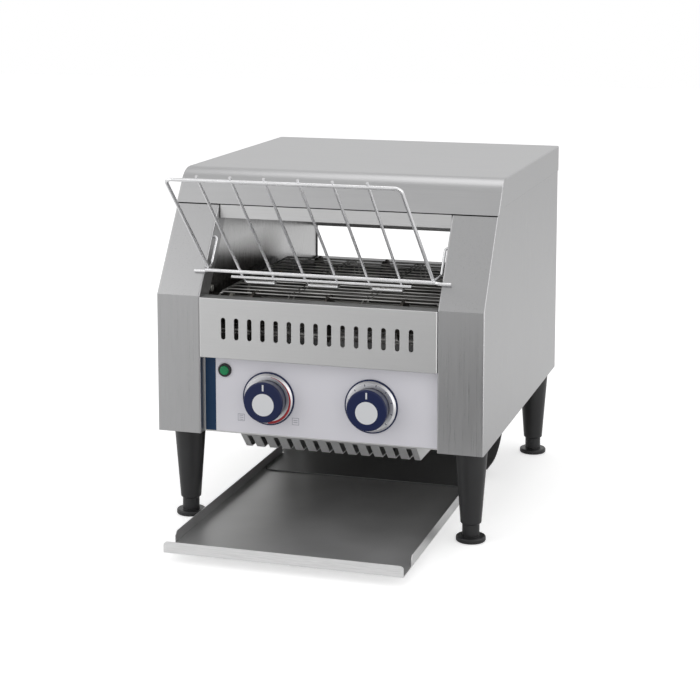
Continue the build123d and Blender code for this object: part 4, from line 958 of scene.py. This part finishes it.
def make_ring_finish(name, centre_x, scale, ink):
    made, tree, shader = start_material(name, RING_COLOUR, metallic=1.0, roughness=0.40)
    place = place_of(tree)[3]
    texture = place_speckle(tree, place, "plating", cloud=60.0)
    cloud = texture.outputs["Cloud"]
    metal = blend_colours(tree, cloud, RING_DARK, RING_LIGHT, "satin ring")
    measured = place_round(tree, place, dial, "round the knob", (centre_x, 0.0, KNOB_Z))
    distance, angle = measured.outputs["Distance"], measured.outputs["Angle"]
    rim = combine(tree, "GREATER_THAN", distance, RIM_START, "outer rim")
    marked = scale(tree, distance, angle)
    colour = blend_colours(tree, marked, metal, ink, "scale")
    colour = blend_colours(tree, rim, colour, KNOB_BLUE, "blue rim")
    join(tree, colour, shader.inputs["Base Color"])
    painted = combine(tree, "MAXIMUM", marked, rim, "painted")
    bare = combine(tree, "SUBTRACT", 1.0, painted, "bare metal")
    join(tree, bare, shader.inputs["Metallic"])
    add_relief(tree, shader, texture.outputs["Specks"], strength=0.03, edge=RING_EDGE)
    return made


heat_ring_finish = make_ring_finish("heat scale ring", -KNOB_X, heat_wedge, SCALE_RED)
speed_ring_finish = make_ring_finish("speed scale ring", KNOB_X, speed_ticks, TICK_INK)
print("rings:", heat_ring_finish.name, "and", speed_ring_finish.name)

# %% [markdown]
# ## Dress the solids
# Every solid gets its finish here, by the name of its node. The list doubles as a check:
# a node without a finish stops the script.

# %% Give each solid its finish
CORNERS = ("front_left", "front_right", "rear_left", "rear_right")

finishes = {
    cover_steel: ["top_cover"],
    housing_steel: ["left_side_housing", "right_side_housing", "rear_cover"],
    vent_steel: ["front_vent_panel", "control_panel"],
    guard_steel: ["underside_vent_guard"],
    chamber_steel: ["left_inner_wall", "right_inner_wall"],
    hood_steel: ["heater_hood"],
    plated_steel: [
        "left_base_plate", "right_base_plate", "control_box", "leg_bolts",
        "rear_cover_screws", "lid_screws", "wall_screws",
    ],
    rack_wire: ["rack_frame", "rack_cross_bars", "rack_hairpins", "rack_hooks"],
    belt_wire: ["conveyor_belt"],
    browned_steel: ["front_belt_wheels", "rear_belt_wheels"],
    turned_steel: [
        "front_shaft", "rear_shaft", "shaft_sprocket", "motor_sprocket", "drive_chain",
        "gear_motor", "heat_switch_spindle", "speed_control_spindle",
    ],
    reflector_steel: ["lower_reflector"],
    coating: ["return_chute"],
    tray_finish: ["toast_tray"],
    film_finish: ["control_panel_film"],
    heat_knob_finish: ["heat_knob"],
    speed_knob_finish: ["speed_knob"],
    heat_ring_finish: ["heat_knob_bezel"],
    speed_ring_finish: ["speed_knob_bezel"],
    leg_plastic: [f"{corner}_{piece}" for corner in CORNERS for piece in ("leg", "foot")],
    black_plastic: ["indicator_body", "terminal_block", "cord_gland", "tray_glides"],
    phenolic: ["heat_switch"],
    board_green: ["speed_control"],
    lens_green: ["indicator_lens"],
    quartz: ["upper_heater_tubes", "lower_heater_tubes"],
    ceramic: ["heater_end_caps"],
    bronze: ["shaft_bushes"],
}
dressed = {name: finish for finish, names in finishes.items() for name in names}
undressed = sorted(set(nodes) - set(dressed))
if undressed:
    raise ValueError(f"no finish for {undressed}")
for name, finish in dressed.items():
    nodes[name].data.materials.clear()
    nodes[name].data.materials.append(finish)
print(len(dressed), "solids dressed in", len(finishes), "finishes")

# %% [markdown]
# ## Table
# The toaster stands on a pale table in a white studio. The table takes its shadow as a
# plain diffuse surface. More light would turn it white, but also burn out the steel, so
# white is added to it only for the camera and for mirrors, told apart by Light Path.
# Mirrors get less of it in front, so that the upright steel keeps some tone.

# %% What mirrors see
FLOOR_LIFT = 0.55
MIRRORED_FRONT = 0.05
MIRRORED_BACK = 0.30
TABLE_DEPTH = 0.6


def seen_by_mirrors(tree, path):
    """1 for rays that left a mirror or glass."""
    glossy, through = path.outputs["Is Glossy Ray"], path.outputs["Is Transmission Ray"]
    return combine(tree, "MAXIMUM", glossy, through, "mirrored")


def lift_to_white(tree, path, y):
    """The white that the camera sees on top of the lit table."""
    share = span(
        tree, y, -TABLE_DEPTH, TABLE_DEPTH, MIRRORED_FRONT, MIRRORED_BACK, "darker in front"
    )
    in_mirror = product(tree, "seen in metal", seen_by_mirrors(tree, path), share)
    seen = combine(tree, "MAXIMUM", path.outputs["Is Camera Ray"], in_mirror, "seen")
    return product(tree, "lift to white", seen, FLOOR_LIFT)


print("the camera sees", FLOOR_LIFT, "more than the lamps give")

# %% [markdown]
# Steel looks like what it mirrors, so in a studio it gets cards laid round it. In the
# metal alone, a dark card lies on the table in front of the right-hand column to give it
# tone, and a bright one far to the right puts a thin light line on the folded edges.
# Cards could be planes of their own; in the table's material they throw no shadow.

# %% Cards on the table
CARD_TONE = 0.06
CARD_GLOW = 1.7
DARK_CARD_X = (-0.42, 0.05)
DARK_CARD_NEAR = (-0.35, -0.60)
DARK_CARD_FAR = (-1.35, -0.85)
BRIGHT_CARD_X = (0.7, 0.9)
BRIGHT_CARD_Y = (-1.9, 0.1)


def bright_card(tree, path, x, y):
    """The glow of the card to the right, in metal only."""
    aside = span(tree, x, *BRIGHT_CARD_X, 0.0, CARD_GLOW, "far to the right")
    beside = within(tree, y, *BRIGHT_CARD_Y, "beside the toaster")
    return product(tree, "bright card", aside, beside, path.outputs["Is Glossy Ray"])


def dark_card(tree, path, x, y):
    """1 on the card in front, in metal only, with soft borders."""
    across = span(tree, x, *DARK_CARD_X, 0.0, 1.0, "towards the right")
    near = span(tree, y, *DARK_CARD_NEAR, 0.0, 1.0, "out in front")
    far = span(tree, y, *DARK_CARD_FAR, 0.0, 1.0, "not too far in front")
    return product(tree, "dark card", across, near, far, path.outputs["Is Glossy Ray"])


print("dark card in front at", CARD_TONE, "and bright card at the right at", CARD_GLOW)

# %% [markdown]
# The table is one large plane, set a hair below the feet so that the two surfaces don't
# share the same height.

# %% Floor
FLOOR_SIZE = 12.0
FLOOR_DROP = 0.4 * MM
FLOOR_WHITE = 0.80


def make_floor():
    bpy.ops.mesh.primitive_plane_add(size=FLOOR_SIZE, location=(0, 0, -FLOOR_DROP))
    plane = bpy.context.object
    plane.name = "studio_floor"
    made = bpy.data.materials.new("studio floor")
    made.use_nodes = True
    tree = made.node_tree
    shader = tree.nodes["Principled BSDF"]
    shader.inputs["Base Color"].default_value = (FLOOR_WHITE, FLOOR_WHITE, FLOOR_WHITE, 1.0)
    shader.inputs["Roughness"].default_value = 0.75
    shader.inputs["Specular IOR Level"].default_value = 0.2
    shader.inputs["Emission Color"].default_value = (1.0, 1.0, 1.0, 1.0)
    path = tree.nodes.new("ShaderNodeLightPath")
    x, y = place_of(tree)[:2]
    lift = lift_to_white(tree, path, y)
    glow = combine(tree, "ADD", lift, bright_card(tree, path, x, y), "glow")
    join(tree, glow, shader.inputs["Emission Strength"])
    card = dark_card(tree, path, x, y)
    shade = blend_colours(tree, card, (FLOOR_WHITE,) * 3, (CARD_TONE,) * 3, "table or card")
    join(tree, shade, shader.inputs["Base Color"])
    plane.data.materials.append(made)
    return plane


floor = make_floor()
print("floor", floor.name, FLOOR_SIZE, "m across")

# %% [markdown]
# ## World
# A world of plain white shows behind the toaster. What lights the diffuse surfaces is
# kept lower, and mirrors see a ceiling that darkens upwards, so that level steel and
# leaning steel differ in tone. A narrow bright panel straight to the right, again in
# mirrors only, gives the leaning edges the light line that the table's card can't reach.

# %% White studio
WORLD_SEEN = 1.0
WORLD_LIGHT = 0.60
CEILING_RISE = (0.30, 0.62)
CEILING_TONES = (0.86, 0.68)
PANEL_GLOW = 0.9
PANEL_X = (0.68, 0.78)
PANEL_Y = (-0.30, 0.30)
PANEL_Z = (0.05, 0.70)


def make_world():
    world = bpy.data.worlds.new("white studio")
    bpy.context.scene.world = world
    world.use_nodes = True
    tree = world.node_tree
    background = tree.nodes["Background"]
    background.inputs["Color"].default_value = (1.0, 1.0, 1.0, 1.0)
    where = tree.nodes.new("ShaderNodeTexCoord")
    parts = tree.nodes.new("ShaderNodeSeparateXYZ")
    join(tree, where.outputs["Generated"], parts.inputs[0])
    x, y, z = parts.outputs["X"], parts.outputs["Y"], parts.outputs["Z"]
    path = tree.nodes.new("ShaderNodeLightPath")
    upper = span(tree, z, *CEILING_RISE, *CEILING_TONES, "darker ceiling")
    in_mirror = product(tree, "seen in metal", seen_by_mirrors(tree, path), upper)
    seen = combine(tree, "MAXIMUM", path.outputs["Is Camera Ray"], in_mirror, "seen")
    white = product(tree, "white", seen, WORLD_SEEN)
    lit = combine(tree, "MAXIMUM", white, WORLD_LIGHT, "strength")
    right = span(tree, x, *PANEL_X, 0.0, PANEL_GLOW, "to the right")
    level = within(tree, z, *PANEL_Z, "above the table")
    abeam = within(tree, y, *PANEL_Y, "straight beside the toaster")
    panel = product(tree, "bright panel", right, level, abeam, path.outputs["Is Glossy Ray"])
    strength = combine(tree, "ADD", lit, panel, "with the bright panel")
    join(tree, strength, background.inputs["Strength"])


make_world()
print("world seen at", WORLD_SEEN, "and lighting at", WORLD_LIGHT)

# %% [markdown]
# ## Lamps
# Three broad lamps shape the object: a key from the upper left, a weaker fill from the
# right and a strip overhead. Small lamps would burn white spots into the steel, so the
# same power is spread over areas two or three metres wide.

# %% Three lamps
AIM = Vector((0.0, 0.0, 0.20))


def add_lamp(name, place, size, power):
    data = bpy.data.lights.new(name, "AREA")
    data.shape = "RECTANGLE"
    data.size, data.size_y = size
    data.energy = power
    lamp = bpy.data.objects.new(name, data)
    bpy.context.scene.collection.objects.link(lamp)
    lamp.location = place
    lamp.rotation_euler = (AIM - Vector(place)).to_track_quat("-Z", "Y").to_euler()
    return lamp


lamps = [
    add_lamp("key_lamp", (-2.4, -1.6, 1.5), (3.0, 3.0), 26.0),
    add_lamp("fill_lamp", (2.2, -1.2, 1.3), (2.4, 2.4), 8.0),
    add_lamp("top_lamp", (0.2, 0.6, 2.6), (2.4, 1.6), 12.0),
]
print("lamps:", ", ".join(lamp.name for lamp in lamps))

# %% [markdown]
# ## Camera
# A long lens stands a little above the toaster and to the right. Tilting it down until
# the toaster fills the frame would make the uprights lean together. A shift of the
# sensor does part of that instead and keeps them nearly parallel, as a shift lens does.

# %% Product camera
LENS = 90.38
SENSOR = 36.0
PICTURE_WIDTH = 700.0
SHIFT_Y = -169.6 / PICTURE_WIDTH
CAMERA_PLACE = (0.5646, -1.9023, 0.6343)
CAMERA_TARGET = (-0.0254, 0.052, 0.3621)


def make_camera():
    data = bpy.data.cameras.new("product_camera")
    data.lens = LENS
    data.sensor_width = SENSOR
    data.sensor_fit = "HORIZONTAL"
    data.shift_y = SHIFT_Y
    data.clip_start = 0.05
    data.clip_end = 50.0
    camera = bpy.data.objects.new("product_camera", data)
    bpy.context.scene.collection.objects.link(camera)
    camera.location = CAMERA_PLACE
    view = Vector(CAMERA_TARGET) - camera.location
    camera.rotation_euler = view.to_track_quat("-Z", "Y").to_euler()
    bpy.context.scene.camera = camera
    return camera


camera = make_camera()
bpy.context.scene.view_settings.view_transform = "Standard"
print(camera.name, "with a lens of", LENS, "mm")
